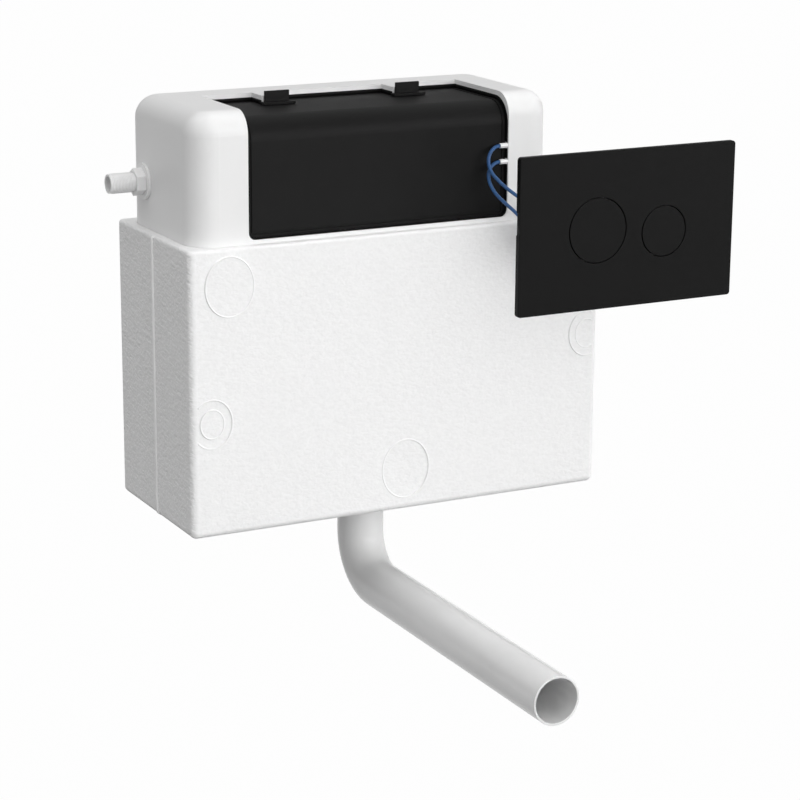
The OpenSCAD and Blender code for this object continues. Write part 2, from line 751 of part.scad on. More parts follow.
module piston(side, hang_z) {
    at_outlet(0) translate([side * cylinder_x, 0, 0]) {
        translate([0, 0, piston_z]) cylinder(h = piston_t, d = cylinder_bore - run);
        translate([0, 0, piston_z]) cylinder(h = yoke_z + yoke_t + 2 - piston_z, d = rod_d);
        if (hang_z > 0) translate([0, 0, hang_z]) cylinder(h = piston_z - hang_z + over, d = hang_d);
    }
}

module full_piston() color("#2F6FB0") piston(-1, 0);

module lift_yoke() color("#D9DCDC") at_outlet(yoke_z) {
    difference() {
        union() {
            translate([-cylinder_x, 0, 0]) cylinder(h = yoke_t, d = rod_d + 8);
            cylinder(h = yoke_t, d = overflow_d + 13);
            translate([-cylinder_x, -6, 0]) cube([cylinder_x - overflow_d / 2, 12, yoke_t]);
        }
        translate([0, 0, -over]) cylinder(h = yoke_t + 2 * over, d = overflow_d + 2 * run);
        translate([-cylinder_x, 0, -over]) cylinder(h = yoke_t + 2 * over, d = rod_d + 0.1);
        translate([0, -overflow_d / 2 - run, -over])
            cube([overflow_d, overflow_d + 2 * run, yoke_t + 2 * over]);
    }
}

module half_piston() color("#2F6FB0") piston(1, half_float_z);

module half_float() color("#CFE0EA") at_outlet(half_float_z) difference() {
    union() {
        ring(half_float_h, float_d, overflow_d + 4 * run);
        translate([cylinder_x, 0, 0]) cylinder(h = half_float_h, d = hang_d + 5);
    }
    translate([cylinder_x, 0, -over]) cylinder(h = half_float_h + 2 * over, d = hang_d + 0.1);
}

module pipe_nut() color("#F2F2EE") at_outlet(8) {
    difference() {
        hex_ring(26, 72, pipe_d + 1);
        translate([0, 0, 6]) cylinder(h = 21, d = shank_d + 2 * nut_gap);
    }
}

module pipe_seal() color("#2B2B2B") at_outlet(14) ring(shank_end - 14, shank_d - 1, pipe_d + 0.2);

module flush_pipe() color("#E3E5E6") at_outlet(0) {
    bore = pipe_d - 2 * pipe_wall;
    bend_z = bend_r - pipe_drop;
    translate([0, 0, bend_z]) ring(pipe_insert - bend_z, pipe_d, bore);
    translate([0, -bend_r, bend_z]) rotate([0, -90, 0]) rotate([0, 0, 90])
        rotate_extrude(angle = 90, $fn = 96) translate([bend_r, 0]) difference() {
            circle(d = pipe_d, $fn = 96);
            circle(d = bore, $fn = 96);
        }
    translate([0, -(pipe_reach - outlet_y), -pipe_drop])
        ring_y(pipe_reach - outlet_y - bend_r, pipe_d, bore);
}

module at_inlet(x) {
    on_foot() translate([x, -inlet_y, inlet_z]) children();
}

module fill_valve_body() color("#F0F0EC") {
    shoulder_x = upper_x0 + tank_wall + inlet_seal_t;
    difference() {
        union() {
            at_inlet(upper_x0 - tail_len) rotate([0, 90, 0]) cylinder(h = tail_free, d = tail_d);
            at_inlet(upper_x0 - tail_len) rotate([0, 90, 0])
                cylinder(h = column_mid - upper_x0 + tail_len, d = neck_d);
            at_inlet(shoulder_x) rotate([0, 90, 0]) cylinder(h = 3, d = tail_d + 11);
            at_inlet(column_mid) translate([0, 0, body_z0 - inlet_z])
                cylinder(h = body_z1 - body_z0, d = body_d);
            at_inlet(column_mid) translate([0, 0, column_foot - inlet_z])
                cylinder(h = body_z0 - column_foot + over, d = column_d);
            at_inlet(column_mid) translate([0, 0, column_foot - inlet_z]) cylinder(h = 3, d = column_d + 6);
        }
        at_inlet(upper_x0 - tail_len - over) rotate([0, 90, 0])
            cylinder(h = column_mid - seat_tube_d / 2 - upper_x0 + tail_len + over, d = tail_bore);
        // Ring chamber round the seat tube, whose mouth the rubber disc closes
        at_inlet(column_mid) translate([0, 0, -tail_bore / 2])
            ring(body_z1 - inlet_z + tail_bore / 2 + over, body_d - 6, seat_tube_d);
        at_inlet(column_mid) translate([0, 0, column_foot - inlet_z - over])
            cylinder(h = body_z1 - column_foot + 2 * over, d = column_d - 5);
        at_inlet(column_mid) translate([0, 0, body_z1 - inlet_z - run])
            cylinder(h = over, d = seat_tube_d + over);
    }
}

module inlet_seal() color("#2B2B2B") at_inlet(upper_x0 + tank_wall)
    ring_x(inlet_seal_t, tail_d + 11, tail_d + 0.2);

module inlet_collar() color("#ECEDED") at_inlet(upper_x0 - inlet_collar_t)
    ring_x(inlet_collar_t, collar_d, tail_d + 0.4);

module inlet_backnut() color("#ECEDED") at_inlet(upper_x0 - inlet_collar_t - inlet_nut_t)
    rotate([0, 90, 0]) hex_ring(inlet_nut_t, inlet_nut_af, neck_d + 0.2);

module at_column(z) {
    on_foot() translate([column_mid, -inlet_y, z]) children();
}

module fill_diaphragm() color("#2B2B2B") at_column(body_z1) cylinder(h = diaphragm_t, d = body_d - 2);

module fill_cap() color("#D9DCDC") at_column(body_z1) difference() {
    union() {
        translate([0, 0, diaphragm_t]) cylinder(h = cap_h - diaphragm_t, d = body_d + 5);
        translate([0, 0, -7]) ring(7 + diaphragm_t + over, body_d + 5, body_d + 0.4);
        for (side = [-1, 1]) translate([-5, side * 6 - 1.5, cap_h - over]) cube([10, 3, 8 + over + 3]);
    }
    translate([0, -10, lever_z - body_z1]) rotate([-90, 0, 0]) cylinder(h = 20, d = lever_pin_d + 0.1);
}

module lever_pin() color("#B8BCC0") at_column(lever_z) translate([0, -9, 0]) disc_y(18, lever_pin_d);

module float_lever() color("#2F6FB0") at_column(lever_z) difference() {
    union() {
        translate([0, -4, 0]) disc_y(8, lever_pin_d + 5);
        translate([0, -4, -lever_t / 2]) cube([lever_len + 5, 8, lever_t]);
    }
    translate([0, -5, 0]) disc_y(10, lever_pin_d + 0.1);
    translate([lever_len - adjust_d / 2 - 2.6, -adjust_d / 2 - run, -lever_t])
        cube([lever_len, adjust_d + 2 * run, 2 * lever_t]);
}

module adjust_rod() color("#D9DCDC") at_column(0) translate([lever_len, 0, 0]) {
    rod_z0 = fill_float_z + fill_float_h - 6;
    translate([0, 0, rod_z0]) cylinder(h = lever_z + 12 - rod_z0, d = adjust_d);
    for (z = [lever_z + lever_t / 2 + 2.4, lever_z - lever_t / 2 - 4.4])
        translate([0, 0, z]) cylinder(h = 2, d = rod_head_d);
}

module fill_float() color("#CFE0EA") at_column(fill_float_z) difference() {
    union() {
        cylinder(h = fill_float_h, d = fill_float_d);
        translate([0, -6, fill_float_h - 8]) cube([lever_len + 5, 12, 8]);
    }
    translate([0, 0, -over]) cylinder(h = fill_float_h + 2 * over, d = column_d + 2 * run);
    translate([0, 0, -over]) ring(fill_float_h - 5, fill_float_d - 4, column_d + 6);
    translate([lever_len, 0, fill_float_h - 6]) cylinder(h = 7, d = adjust_d);
}

module hose_ferrules() color("#F0F0F0") on_foot() at_ferrules()
    translate([recess_x - ferrule_out, 0, 0])
        ring_x(ferrule_out + duct_x - recess_x, ferrule_d, hose_d + 0.2);

// Unit vector along a route at point i
function route_dir(p, i) =
    let (a = p[max(i - 1, 0)], b = p[min(i + 1, len(p) - 1)]) (b - a) / norm(b - a);

// Side vectors carried along the route from point to point, so that the tube doesn't twist
function carried(p, i) =
    i == 0 ? let (d = route_dir(p, 0), s = abs(d[2]) < 0.9 ? [0, 0, 1] : [0, 1, 0])
        (s - (s * d) * d) / norm(s - (s * d) * d)
    : let (d = route_dir(p, i), s = carried(p, i - 1)) (s - (s * d) * d) / norm(s - (s * d) * d);

// Tube of diameter d along the points p, with the given number of sides
module swept_tube(p, d, sides) {
    n = len(p);
    points = [for (i = [0:n - 1]) let (t = route_dir(p, i), u = carried(p, i), v = cross(t, u))
        for (k = [0:sides - 1]) p[i] + d / 2 * (cos(360 * k / sides) * u + sin(360 * k / sides) * v)];
    walls = [for (i = [0:n - 2]) for (k = [0:sides - 1]) let (a = i * sides + k,
        b = i * sides + (k + 1) % sides) each [[a, b, b + sides], [a, b + sides, a + sides]]];
    first = [for (k = [1:sides - 2]) [0, k + 1, k]];
    last = [for (k = [1:sides - 2]) [(n - 1) * sides, (n - 1) * sides + k, (n - 1) * sides + k + 1]];
    polyhedron(points, [for (f = concat(walls, first, last)) [f[2], f[1], f[0]]], convexity = 6);
}

module inner_hose_full() color("#2C4F7C") swept_tube(inner_full_route, hose_d, 8);

module inner_hose_half() color("#2C4F7C") swept_tube(inner_half_route, hose_d, 8);

module outer_hose_full() color("#2C4F7C") swept_tube(outer_full_route, hose_d, 8);

module outer_hose_half() color("#2C4F7C") swept_tube(outer_half_route, hose_d, 8);

module at_full(y) {
    on_foot() translate([full_x, y, full_z]) children();
}

module at_half(y) {
    on_foot() translate([half_x, y, half_z]) children();
}

// Plate outline seen from the front, moved in by inset
module plate_outline(inset, r) {
    round_rect(plate_x - plate_w / 2 + inset, plate_z - plate_h / 2 + inset,
        plate_x + plate_w / 2 - inset, plate_z + plate_h / 2 - inset, [r, r, r, r]);
}

module flush_plate() color("#212121") {
    on_foot() difference() {
        along_y(-plate_y, rim_y) plate_outline(0, 3);
        along_y(-plate_y + plate_wall, rim_y + over) plate_outline(plate_wall, 1);
        translate([full_x, -plate_y - over, full_z]) disc_y(plate_t, full_d + 2 * hole_edge);
        translate([half_x, -plate_y - over, half_z]) disc_y(plate_t, half_d + 2 * hole_edge);
        translate([plate_x - plate_w / 2 - over, -plate_y + 1.2, notch_z - notch_len / 2])
            cube([1.2 + over, plate_t, notch_len]);
    }
    at_full(-plate_y + plate_wall / 2)
        ring_y(10, full_d + 2 * hole_edge + 2 * collar_wall, full_d + 2 * hole_edge);
    at_half(-plate_y + plate_wall / 2)
        ring_y(10, half_d + 2 * hole_edge + 2 * collar_wall, half_d + 2 * hole_edge);
}

module plate_frame() color("#2E2E2E") on_foot() difference() {
    union() {
        along_y(frame_y0, rim_y) plate_outline(plate_wall + frame_gap, 1);
        along_y(frame_y0, frame_y1) plate_outline(plate_wall + frame_gap + frame_inset, 3);
    }
    along_y(frame_y0 - over, frame_y1 - frame_slab)
        plate_outline(plate_wall + frame_gap + frame_inset + frame_wall, 1);
    translate([full_x, frame_y0, full_z]) disc_y(plate_t * 3, full_d - 4.4);
    translate([half_x, frame_y0, half_z]) disc_y(plate_t * 3, half_d - 4.4);
    for (side = [-1, 1]) translate([plate_x + side * stud_spacing / 2, frame_y0, plate_z + stud_lift])
        disc_y(plate_t * 3, stud_d + 0.2);
}

module button(d) {
    difference() {
        disc_y(skirt_len, d);
        translate([0, button_t, 0]) disc_y(skirt_len, d - 3.2);
    }
    disc_y(plate_y + bellows_y0 - run, post_d);
}

module full_button() color("#212121") at_full(-plate_y) button(full_d);

module half_button() color("#212121") at_half(-plate_y) button(half_d);

// Cup behind a button, fixed through the frame by its flange
module pump_case(d) {
    length = case_y1 - case_y0;
    translate([0, case_y0, 0]) difference() {
        union() {
            disc_y(length, d);
            translate([0, frame_y1 - case_y0, 0]) disc_y(case_flange, d + 8);
        }
        translate([0, -over, 0]) disc_y(length - 2.5 + over, d - 2 * case_wall);
    }
}

module full_pump_case() color("#3A3D40") on_foot() translate([full_x, 0, full_z]) difference() {
    root_x = sqrt(pow(full_case_d / 2, 2) - pow(full_socket_z, 2));
    union() {
        pump_case(full_case_d);
        translate([-root_x + 1.5, socket_y, full_socket_z])
            rotate([0, -90, 0]) cylinder(h = socket_len, d = socket_d);
    }
    translate([-root_x + 5, socket_y, full_socket_z])
        rotate([0, -90, 0]) cylinder(h = socket_len + 5, d = hose_d + 0.2);
}

module half_pump_case() color("#3A3D40") on_foot() translate([half_x, 0, half_z]) difference() {
    union() {
        pump_case(half_case_d);
        translate([0, half_socket_y, -half_case_d / 2 + 1.5])
            mirror([0, 0, 1]) cylinder(h = socket_len, d = socket_d);
    }
    translate([0, half_socket_y, -half_case_d / 2 + 5])
        mirror([0, 0, 1]) cylinder(h = socket_len + 5, d = hose_d + 0.2);
}

// Bellows: a front plate and folded walls, open at the rear
module bellows(d) {
    folds = 5;
    length = bellows_y1 - bellows_y0;
    pitch = length / folds;
    deep = 4;
    t = bellows_t;
    // Fold points from the front to the rear, one outer and one inner to each fold
    wall = [for (i = [0:2 * folds]) [d / 2 - (i % 2) * deep, i * pitch / 2]];
    lining = [for (i = [2 * folds:-1:1]) [wall[i][0] - t, wall[i][1]]];
    inner = [[wall[1][0] - t, t], [0, t]];
    rotate([-90, 0, 0]) rotate_extrude() polygon(concat([[0, 0]], wall, lining, inner));
}

module full_bellows() color("#4A4E52") at_full(bellows_y0) bellows(full_d - 12);

module half_bellows() color("#4A4E52") at_half(bellows_y0) bellows(half_d - 12);

// Helix along Y: radius, wire, length, curls and rings per curl
function helix(r, length, curls, rings) = [for (i = [0:curls * rings])
    [r * cos(360 * i / rings), length * i / (curls * rings), r * sin(360 * i / rings)]];

spring_wire = 1.2;
spring_curls = 5;
spring_rings = 8;
spring_gap = 0.2;
spring_len = bellows_y1 + bellows_end_gap - bellows_y0 - bellows_t - 2 * spring_gap - spring_wire;
echo(gap_between_spring_curls = spring_len / spring_curls - spring_wire);

module return_spring(d) {
    translate([0, bellows_t + spring_gap + spring_wire / 2, 0])
        swept_tube(helix(d / 2, spring_len, spring_curls, spring_rings), spring_wire, 6);
}

module full_spring() color("#B8BCC0") at_full(bellows_y0) return_spring(22);

module half_spring() color("#B8BCC0") at_half(bellows_y0) return_spring(16);

module plate_studs() color("#B8BCC0") on_foot() for (side = [-1, 1])
    translate([plate_x + side * stud_spacing / 2, frame_y1 - frame_slab - 2, plate_z + stud_lift]) {
        disc_y(stud_len + frame_slab + 2, stud_neck_d);
        disc_y(2, stud_d + 5);
        translate([0, frame_slab + 2 + 0.1 + stud_nut_t + thread_relief, 0])
            disc_y(stud_len - 0.1 - stud_nut_t - thread_relief, stud_d);
    }

module stud_nuts() color("#B8BCC0") on_foot() for (side = [-1, 1])
    translate([plate_x + side * stud_spacing / 2, frame_y1 + 0.1, plate_z + stud_lift])
        rotate([-90, 0, 0]) hex_ring(stud_nut_t, stud_nut_af, stud_neck_d + 0.1);

tank();
front_jacket();
rear_jacket();
access_cover();
cover_gasket();
left_latch();
right_latch();
valve_base();
valve_washer();
valve_backnut();
valve_tower();
actuator_housing();
overflow_tube();
seal_retainer();
seat_seal();
full_float();
full_piston();
lift_yoke();
half_piston();
half_float();
pipe_nut();
pipe_seal();
flush_pipe();
fill_valve_body();
inlet_seal();
inlet_collar();
inlet_backnut();
fill_diaphragm();
fill_cap();
lever_pin();
float_lever();
adjust_rod();
fill_float();
hose_ferrules();
inner_hose_full();
inner_hose_half();
outer_hose_full();
outer_hose_half();
flush_plate();
plate_frame();
full_button();
half_button();
full_pump_case();
half_pump_case();
full_bellows();
half_bellows();
full_spring();
half_spring();
plate_studs();
stud_nuts();
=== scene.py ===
"""Concealed toilet cistern with a foam jacket, wrap-over cover and remote flush plate.

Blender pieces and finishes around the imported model. Metres, in the model's own frame:
the origin is midway between the wall fixing holes, Y runs into the wall and Z up.
"""

import math

import bpy
from mathutils import Matrix, Vector


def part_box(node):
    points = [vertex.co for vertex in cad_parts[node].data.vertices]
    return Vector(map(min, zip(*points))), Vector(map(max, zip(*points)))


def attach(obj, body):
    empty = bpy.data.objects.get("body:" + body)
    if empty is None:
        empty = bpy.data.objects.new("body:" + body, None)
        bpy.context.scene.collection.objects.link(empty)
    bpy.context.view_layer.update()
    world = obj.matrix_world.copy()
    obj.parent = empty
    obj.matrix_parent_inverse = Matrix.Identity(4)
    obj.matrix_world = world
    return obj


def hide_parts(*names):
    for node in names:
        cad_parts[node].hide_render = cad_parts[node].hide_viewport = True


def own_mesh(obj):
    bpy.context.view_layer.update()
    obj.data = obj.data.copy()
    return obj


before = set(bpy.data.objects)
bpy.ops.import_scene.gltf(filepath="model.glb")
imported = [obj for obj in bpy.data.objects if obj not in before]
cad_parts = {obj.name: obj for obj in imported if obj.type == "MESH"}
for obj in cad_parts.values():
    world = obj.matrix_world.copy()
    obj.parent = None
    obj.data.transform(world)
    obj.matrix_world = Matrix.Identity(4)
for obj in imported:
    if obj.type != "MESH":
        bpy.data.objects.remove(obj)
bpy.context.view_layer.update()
MM = 0.001


def linear(code):
    """Turns an sRGB hex colour into the linear colour that a shader takes."""
    parts = [int(code[i:i + 2], 16) / 255 for i in (1, 3, 5)]
    return tuple(c / 12.92 if c <= 0.04045 else ((c + 0.055) / 1.055) ** 2.4
                 for c in parts) + (1.0,)


# Camera of the photograph, fitted to the edges of the jacket, tank, pipe and plate: its place,
# the turn, tilt and roll of its view in radians, and its focal length in pixels of the photo
IMAGE_PX = 800
CAMERA_PLACE = Vector((-0.997203, -2.082983, 0.376439))
CAMERA_AZIMUTH = 0.478754
CAMERA_PITCH = 0.264566
CAMERA_ROLL = 0.006982
FOCAL_PX = 2512.42
SENSOR_MM = 36.0
CLIP_END = 50


def make_camera():
    data = bpy.data.cameras.new("photo_camera")
    data.sensor_width = SENSOR_MM
    data.lens = FOCAL_PX / IMAGE_PX * SENSOR_MM
    data.clip_end = CLIP_END
    ahead = Vector((math.sin(CAMERA_AZIMUTH), math.cos(CAMERA_AZIMUTH), 0))
    look = ahead * math.cos(CAMERA_PITCH) - Vector((0, 0, math.sin(CAMERA_PITCH)))
    level = Vector((math.cos(CAMERA_AZIMUTH), -math.sin(CAMERA_AZIMUTH), 0))
    above = level.cross(look)
    right = level * math.cos(CAMERA_ROLL) + above * math.sin(CAMERA_ROLL)
    up = above * math.cos(CAMERA_ROLL) - level * math.sin(CAMERA_ROLL)
    turn = Matrix((right, up, -look)).transposed()
    camera = bpy.data.objects.new("photo_camera", data)
    bpy.context.scene.collection.objects.link(camera)
    camera.matrix_world = Matrix.Translation(CAMERA_PLACE) @ turn.to_4x4()
    bpy.context.scene.camera = camera


make_camera()

QUARTER = math.pi / 2


def in_metres(point):
    return Vector(point) * MM


def make_mesh(name, points, faces, body):
    """A smooth-shaded piece that rides on a body of the model."""
    mesh = bpy.data.meshes.new(name)
    mesh.from_pydata([tuple(p) for p in points], [], faces)
    mesh.update()
    mesh.shade_smooth()
    piece = bpy.data.objects.new(name, mesh)
    bpy.context.scene.collection.objects.link(piece)
    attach(piece, body)
    return piece


def skin_rows(rows, closed_rows=False):
    """Points and faces of a surface through rows of points, each row a closed loop.

    The rows form a ring if they are closed. Otherwise the first and the last get a cap.
    """
    sides = len(rows[0])
    points = [p for row in rows for p in row]
    count = len(rows)
    faces = []
    for i in range(count if closed_rows else count - 1):
        a, b = i * sides, (i + 1) % count * sides
        faces += [(a + k, a + (k + 1) % sides, b + (k + 1) % sides, b + k) for k in range(sides)]
    if not closed_rows:
        faces.append(tuple(range(sides))[::-1])
        faces.append(tuple((count - 1) * sides + k for k in range(sides)))
    return points, faces


def join_skins(skins):
    """Points and faces of several skins as one."""
    points, faces = [], []
    for more_points, more_faces in skins:
        faces += [tuple(i + len(points) for i in face) for face in more_faces]
        points += more_points
    return points, faces


def smooth_line(route, steps):
    """Points on a smooth curve through the route, so many to each stretch."""
    knots = [Vector(p) for p in route]
    knots = [2 * knots[0] - knots[1]] + knots + [2 * knots[-1] - knots[-2]]
    line = []
    for a, b, c, d in zip(knots, knots[1:], knots[2:], knots[3:]):
        for i in range(steps):
            t = i / steps
            line.append(0.5 * (2 * b + (c - a) * t + (2 * a - 5 * b + 4 * c - d) * t * t
                               + (3 * b - a - 3 * c + d) * t ** 3))
    return line + [knots[-2]]


# Where a tube's first ring starts: a direction that no line here follows
TUBE_START = Vector((0.31, 0.52, 0.79))


def tube_rows(line, diameter, sides):
    """Rings of points round a line, carried along it without a twist."""
    rows = []
    side = TUBE_START
    for i, spot in enumerate(line):
        ahead = (line[min(i + 1, len(line) - 1)] - line[max(i - 1, 0)]).normalized()
        side = (side - side.dot(ahead) * ahead).normalized()
        across = ahead.cross(side)
        turns = [2 * math.pi * k / sides for k in range(sides)]
        rows.append([spot + diameter / 2 * (math.cos(t) * side + math.sin(t) * across)
                     for t in turns])
    return rows


# Air hoses: the routes of part.scad, in metres
HOSE_D = 3.2 * MM
HOSE_SIDES = 20
HOSE_STEPS = 6
OUTER_FULL_ROUTE = [
    (0.105, -0.1542, 0.0105), (0.102, -0.1542, 0.0105), (0.0971, -0.1555, 0.0099),
    (0.0928, -0.1572, 0.0078), (0.0893, -0.159, 0.0043), (0.0872, -0.1608, -0.0002),
    (0.0869, -0.163, -0.0058), (0.0883, -0.166, -0.0114), (0.0913, -0.17, -0.0164),
    (0.0946, -0.1744, -0.0208), (0.0985, -0.18, -0.0253), (0.1029, -0.1864, -0.0298),
    (0.1076, -0.193, -0.0343), (0.1117, -0.1994, -0.0377), (0.1164, -0.2029, -0.0401),
    (0.1216, -0.2046, -0.0409), (0.126, -0.2046, -0.0409)]
OUTER_HALF_ROUTE = [
    (0.105, -0.1542, -0.0039), (0.102, -0.1542, -0.0039), (0.097, -0.1555, -0.0045),
    (0.0924, -0.1574, -0.0065), (0.0888, -0.1596, -0.0102), (0.0869, -0.162, -0.015),
    (0.0868, -0.165, -0.0206), (0.0889, -0.1686, -0.0269), (0.0922, -0.1728, -0.0325),
    (0.0965, -0.1784, -0.0379), (0.1012, -0.1844, -0.0436), (0.106, -0.1904, -0.0504),
    (0.1113, -0.1956, -0.0585), (0.1179, -0.1996, -0.0675), (0.126, -0.2028, -0.077),
    (0.1361, -0.2054, -0.0856), (0.1482, -0.2074, -0.0929), (0.1614, -0.2088, -0.099),
    (0.175, -0.2096, -0.1038), (0.1876, -0.21, -0.1069), (0.1991, -0.21, -0.108),
    (0.2088, -0.21, -0.1062), (0.2163, -0.21, -0.1018), (0.2209, -0.21, -0.0959),
    (0.2227, -0.21, -0.0899), (0.2227, -0.21, -0.0845)]
INNER_FULL_ROUTE = [
    (0.117, -0.1515, 0.0105), (0.117, -0.147, 0.0105), (0.117, -0.141, 0.0105),
    (0.116, -0.1344, 0.0083), (0.1124, -0.1286, 0.0023), (0.1057, -0.1246, -0.0076),
    (0.0961, -0.1224, -0.021), (0.0846, -0.1216, -0.0367), (0.0722, -0.1215, -0.0532),
    (0.0597, -0.1215, -0.0694), (0.0488, -0.1216, -0.0839), (0.038, -0.1216, -0.0978),
    (0.0349, -0.1205, -0.1021), (0.0324, -0.1175, -0.1057), (0.0306, -0.113, -0.1081),
    (0.03, -0.1076, -0.109), (0.03, -0.1036, -0.109)]
INNER_HALF_ROUTE = [
    (0.117, -0.1515, -0.0039), (0.117, -0.147, -0.0039), (0.117, -0.142, -0.0039),
    (0.1159, -0.1355, -0.0068), (0.1124, -0.131, -0.0133), (0.1046, -0.1284, -0.0236),
    (0.0929, -0.1274, -0.0376), (0.0784, -0.127, -0.0527), (0.0618, -0.127, -0.0667),
    (0.0433, -0.127, -0.0794), (0.0238, -0.1264, -0.0898), (0.0042, -0.1246, -0.0979),
    (-0.0171, -0.1216, -0.1042), (-0.022, -0.1205, -0.106), (-0.0262, -0.1175, -0.1076),
    (-0.029, -0.113, -0.1087), (-0.03, -0.1076, -0.109), (-0.03, -0.1036, -0.109)]


def make_hose(name, node_name, route):
    """A hose as a round tube on the smooth curve through its route."""
    line = smooth_line(route, HOSE_STEPS)
    hose = make_mesh(name, *skin_rows(tube_rows(line, HOSE_D, HOSE_SIDES)), "cistern")
    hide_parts(node_name)
    return hose, line


def make_outer_hose(name, node_name, route):
    """A hose between the tank and the flush plate."""
    hose, line = make_hose(name, node_name, route)
    return hose


full_hose = make_outer_hose("full_flush_hose", "outer_hose_full", OUTER_FULL_ROUTE)
half_hose = make_outer_hose("half_flush_hose", "outer_hose_half", OUTER_HALF_ROUTE)
inner_full, _ = make_hose("inner_full_hose", "inner_hose_full", INNER_FULL_ROUTE)
inner_half, _ = make_hose("inner_half_hose", "inner_hose_half", INNER_HALF_ROUTE)
hoses = [full_hose, half_hose, inner_full, inner_half]


# Cover rim and groove, drawn on the cover's developed face: s along its side profile from the
# front's bottom edge over the bend to the rear edge, x across, and height off the face
COVER_LO, COVER_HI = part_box("access_cover")
COVER_LEFT, COVER_RIGHT = COVER_LO.x, COVER_HI.x
COVER_FRONT_Y, COVER_REAR_Y = COVER_LO.y, COVER_HI.y
COVER_BOTTOM_Z, COVER_TOP_Z = COVER_LO.z, COVER_HI.z
BEND_R = 20 * MM
COVER_FOOT_R = 6 * MM
COVER_REAR_R = 3 * MM
FRONT_RUN = COVER_TOP_Z - BEND_R - COVER_BOTTOM_Z
BEND_RUN = BEND_R * QUARTER
COVER_RUN = FRONT_RUN + BEND_RUN + (COVER_REAR_Y - COVER_FRONT_Y - BEND_R)
# Notches for the latches, and how far the rim runs down their sides, short of the latch's lip
NOTCH_HALF = 13.5 * MM
NOTCH_R = 1.2 * MM
NOTCH_RUN = 21 * MM
LATCH_X = [sum(corner.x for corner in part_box(name)) / 2 for name in ("left_latch", "right_latch")]


def on_cover(s, x, height):
    """The place of a point of the developed cover, at a height off its face."""
    if s <= FRONT_RUN:
        return Vector((x, COVER_FRONT_Y - height, COVER_BOTTOM_Z + s))
    if s >= FRONT_RUN + BEND_RUN:
        return Vector((x, COVER_FRONT_Y + BEND_R + s - FRONT_RUN - BEND_RUN, COVER_TOP_Z + height))
    turn = (s - FRONT_RUN) / BEND_R
    return Vector((x, COVER_FRONT_Y + BEND_R - (BEND_R + height) * math.cos(turn),
                   COVER_TOP_Z - BEND_R + (BEND_R + height) * math.sin(turn)))


def corner_arc(centre, radius, start, sweep, steps=8):
    """Points of a flat arc, as (s, x), with its angle measured from +x towards +s."""
    return [(centre[0] + radius * math.sin(start + sweep * i / steps),
             centre[1] + radius * math.cos(start + sweep * i / steps)) for i in range(steps + 1)]


def split_long(outline, longest):
    """The outline with more points on its long stretches, so that it can bend."""
    made = [outline[0]]
    for a, b in zip(outline, outline[1:]):
        parts = max(1, math.ceil(math.hypot(b[0] - a[0], b[1] - a[1]) / longest))
        made += [(a[0] + (b[0] - a[0]) * i / parts, a[1] + (b[1] - a[1]) * i / parts)
                 for i in range(1, parts + 1)]
    return made


def strip_rows(outline, section):
    """Rows of a strip along a flat outline; the section is (inwards, height) pairs."""
    rows = []
    for i, (s, x) in enumerate(outline):
        s0, x0 = outline[max(i - 1, 0)]
        s1, x1 = outline[min(i + 1, len(outline) - 1)]
        run = math.hypot(s1 - s0, x1 - x0)
        # The outline is walked with the cover's middle on its left
        inward = (-(x1 - x0) / run, (s1 - s0) / run)
        rows.append([on_cover(s + inward[0] * d, x + inward[1] * d, h) for d, h in section])
    return rows


def cover_outline():
    """The developed edge from the left latch's notch round to the right latch's notch."""
    left, right, high = COVER_LEFT, COVER_RIGHT, COVER_RUN
    foot_r, rear_r, notch_r = COVER_FOOT_R, COVER_REAR_R, NOTCH_R
    left_notch, right_notch = LATCH_X[0] - NOTCH_HALF, LATCH_X[1] + NOTCH_HALF
    return ([(high - NOTCH_RUN, left_notch)]
            + corner_arc((high - notch_r, left_notch - notch_r), notch_r, 0, QUARTER)
            + corner_arc((high - rear_r, left + rear_r), rear_r, QUARTER, QUARTER)
            + corner_arc((foot_r, left + foot_r), foot_r, 2 * QUARTER, QUARTER)
            + corner_arc((foot_r, right - foot_r), foot_r, 3 * QUARTER, QUARTER)
            + corner_arc((high - rear_r, right - rear_r), rear_r, 0, QUARTER)
            + corner_arc((high - notch_r, right_notch + notch_r), notch_r, QUARTER, QUARTER)
            + [(high - NOTCH_RUN, right_notch)])


def middle_outline():
    """The developed edge between the two latches' notches, with the notches' inner sides."""
    left, right = LATCH_X[0] + NOTCH_HALF, LATCH_X[1] - NOTCH_HALF
    high, notch_r = COVER_RUN, NOTCH_R
    return ([(high - NOTCH_RUN, right)]
            + corner_arc((high - notch_r, right - notch_r), notch_r, 0, QUARTER)
            + corner_arc((high - notch_r, left + notch_r), notch_r, QUARTER, QUARTER)
            + [(high - NOTCH_RUN, left)])


# Rim: its width and height, the rounding of its top, and how deep its root goes into the cover
RIM_W = 3 * MM
RIM_H = 3.5 * MM
RIM_EDGE = 0.5 * MM
RIM_ROOT = 0.6 * MM
# The rim's outer face leans in a little
RIM_FOOT_IN = 0.15 * MM
RIM_FACE_IN = 0.05 * MM
# How far the rounding's middle point lies from the corner that it takes off
EDGE_MID = RIM_EDGE * 0.3
# Root of the rim, its outer face, its rounded top and its inner face
RIM_SECTION = [(RIM_FOOT_IN, -RIM_ROOT), (RIM_FACE_IN, RIM_H - RIM_EDGE),
               (RIM_FACE_IN + EDGE_MID, RIM_H - EDGE_MID), (RIM_EDGE, RIM_H),
               (RIM_W - RIM_EDGE, RIM_H), (RIM_W - EDGE_MID, RIM_H - EDGE_MID),
               (RIM_W, RIM_H - RIM_EDGE), (RIM_W, -RIM_ROOT)]
# Longest stretch of a strip: short where it bends over the cover's front edge
BENT_STEP = 2.5 * MM
LEVEL_STEP = 8 * MM
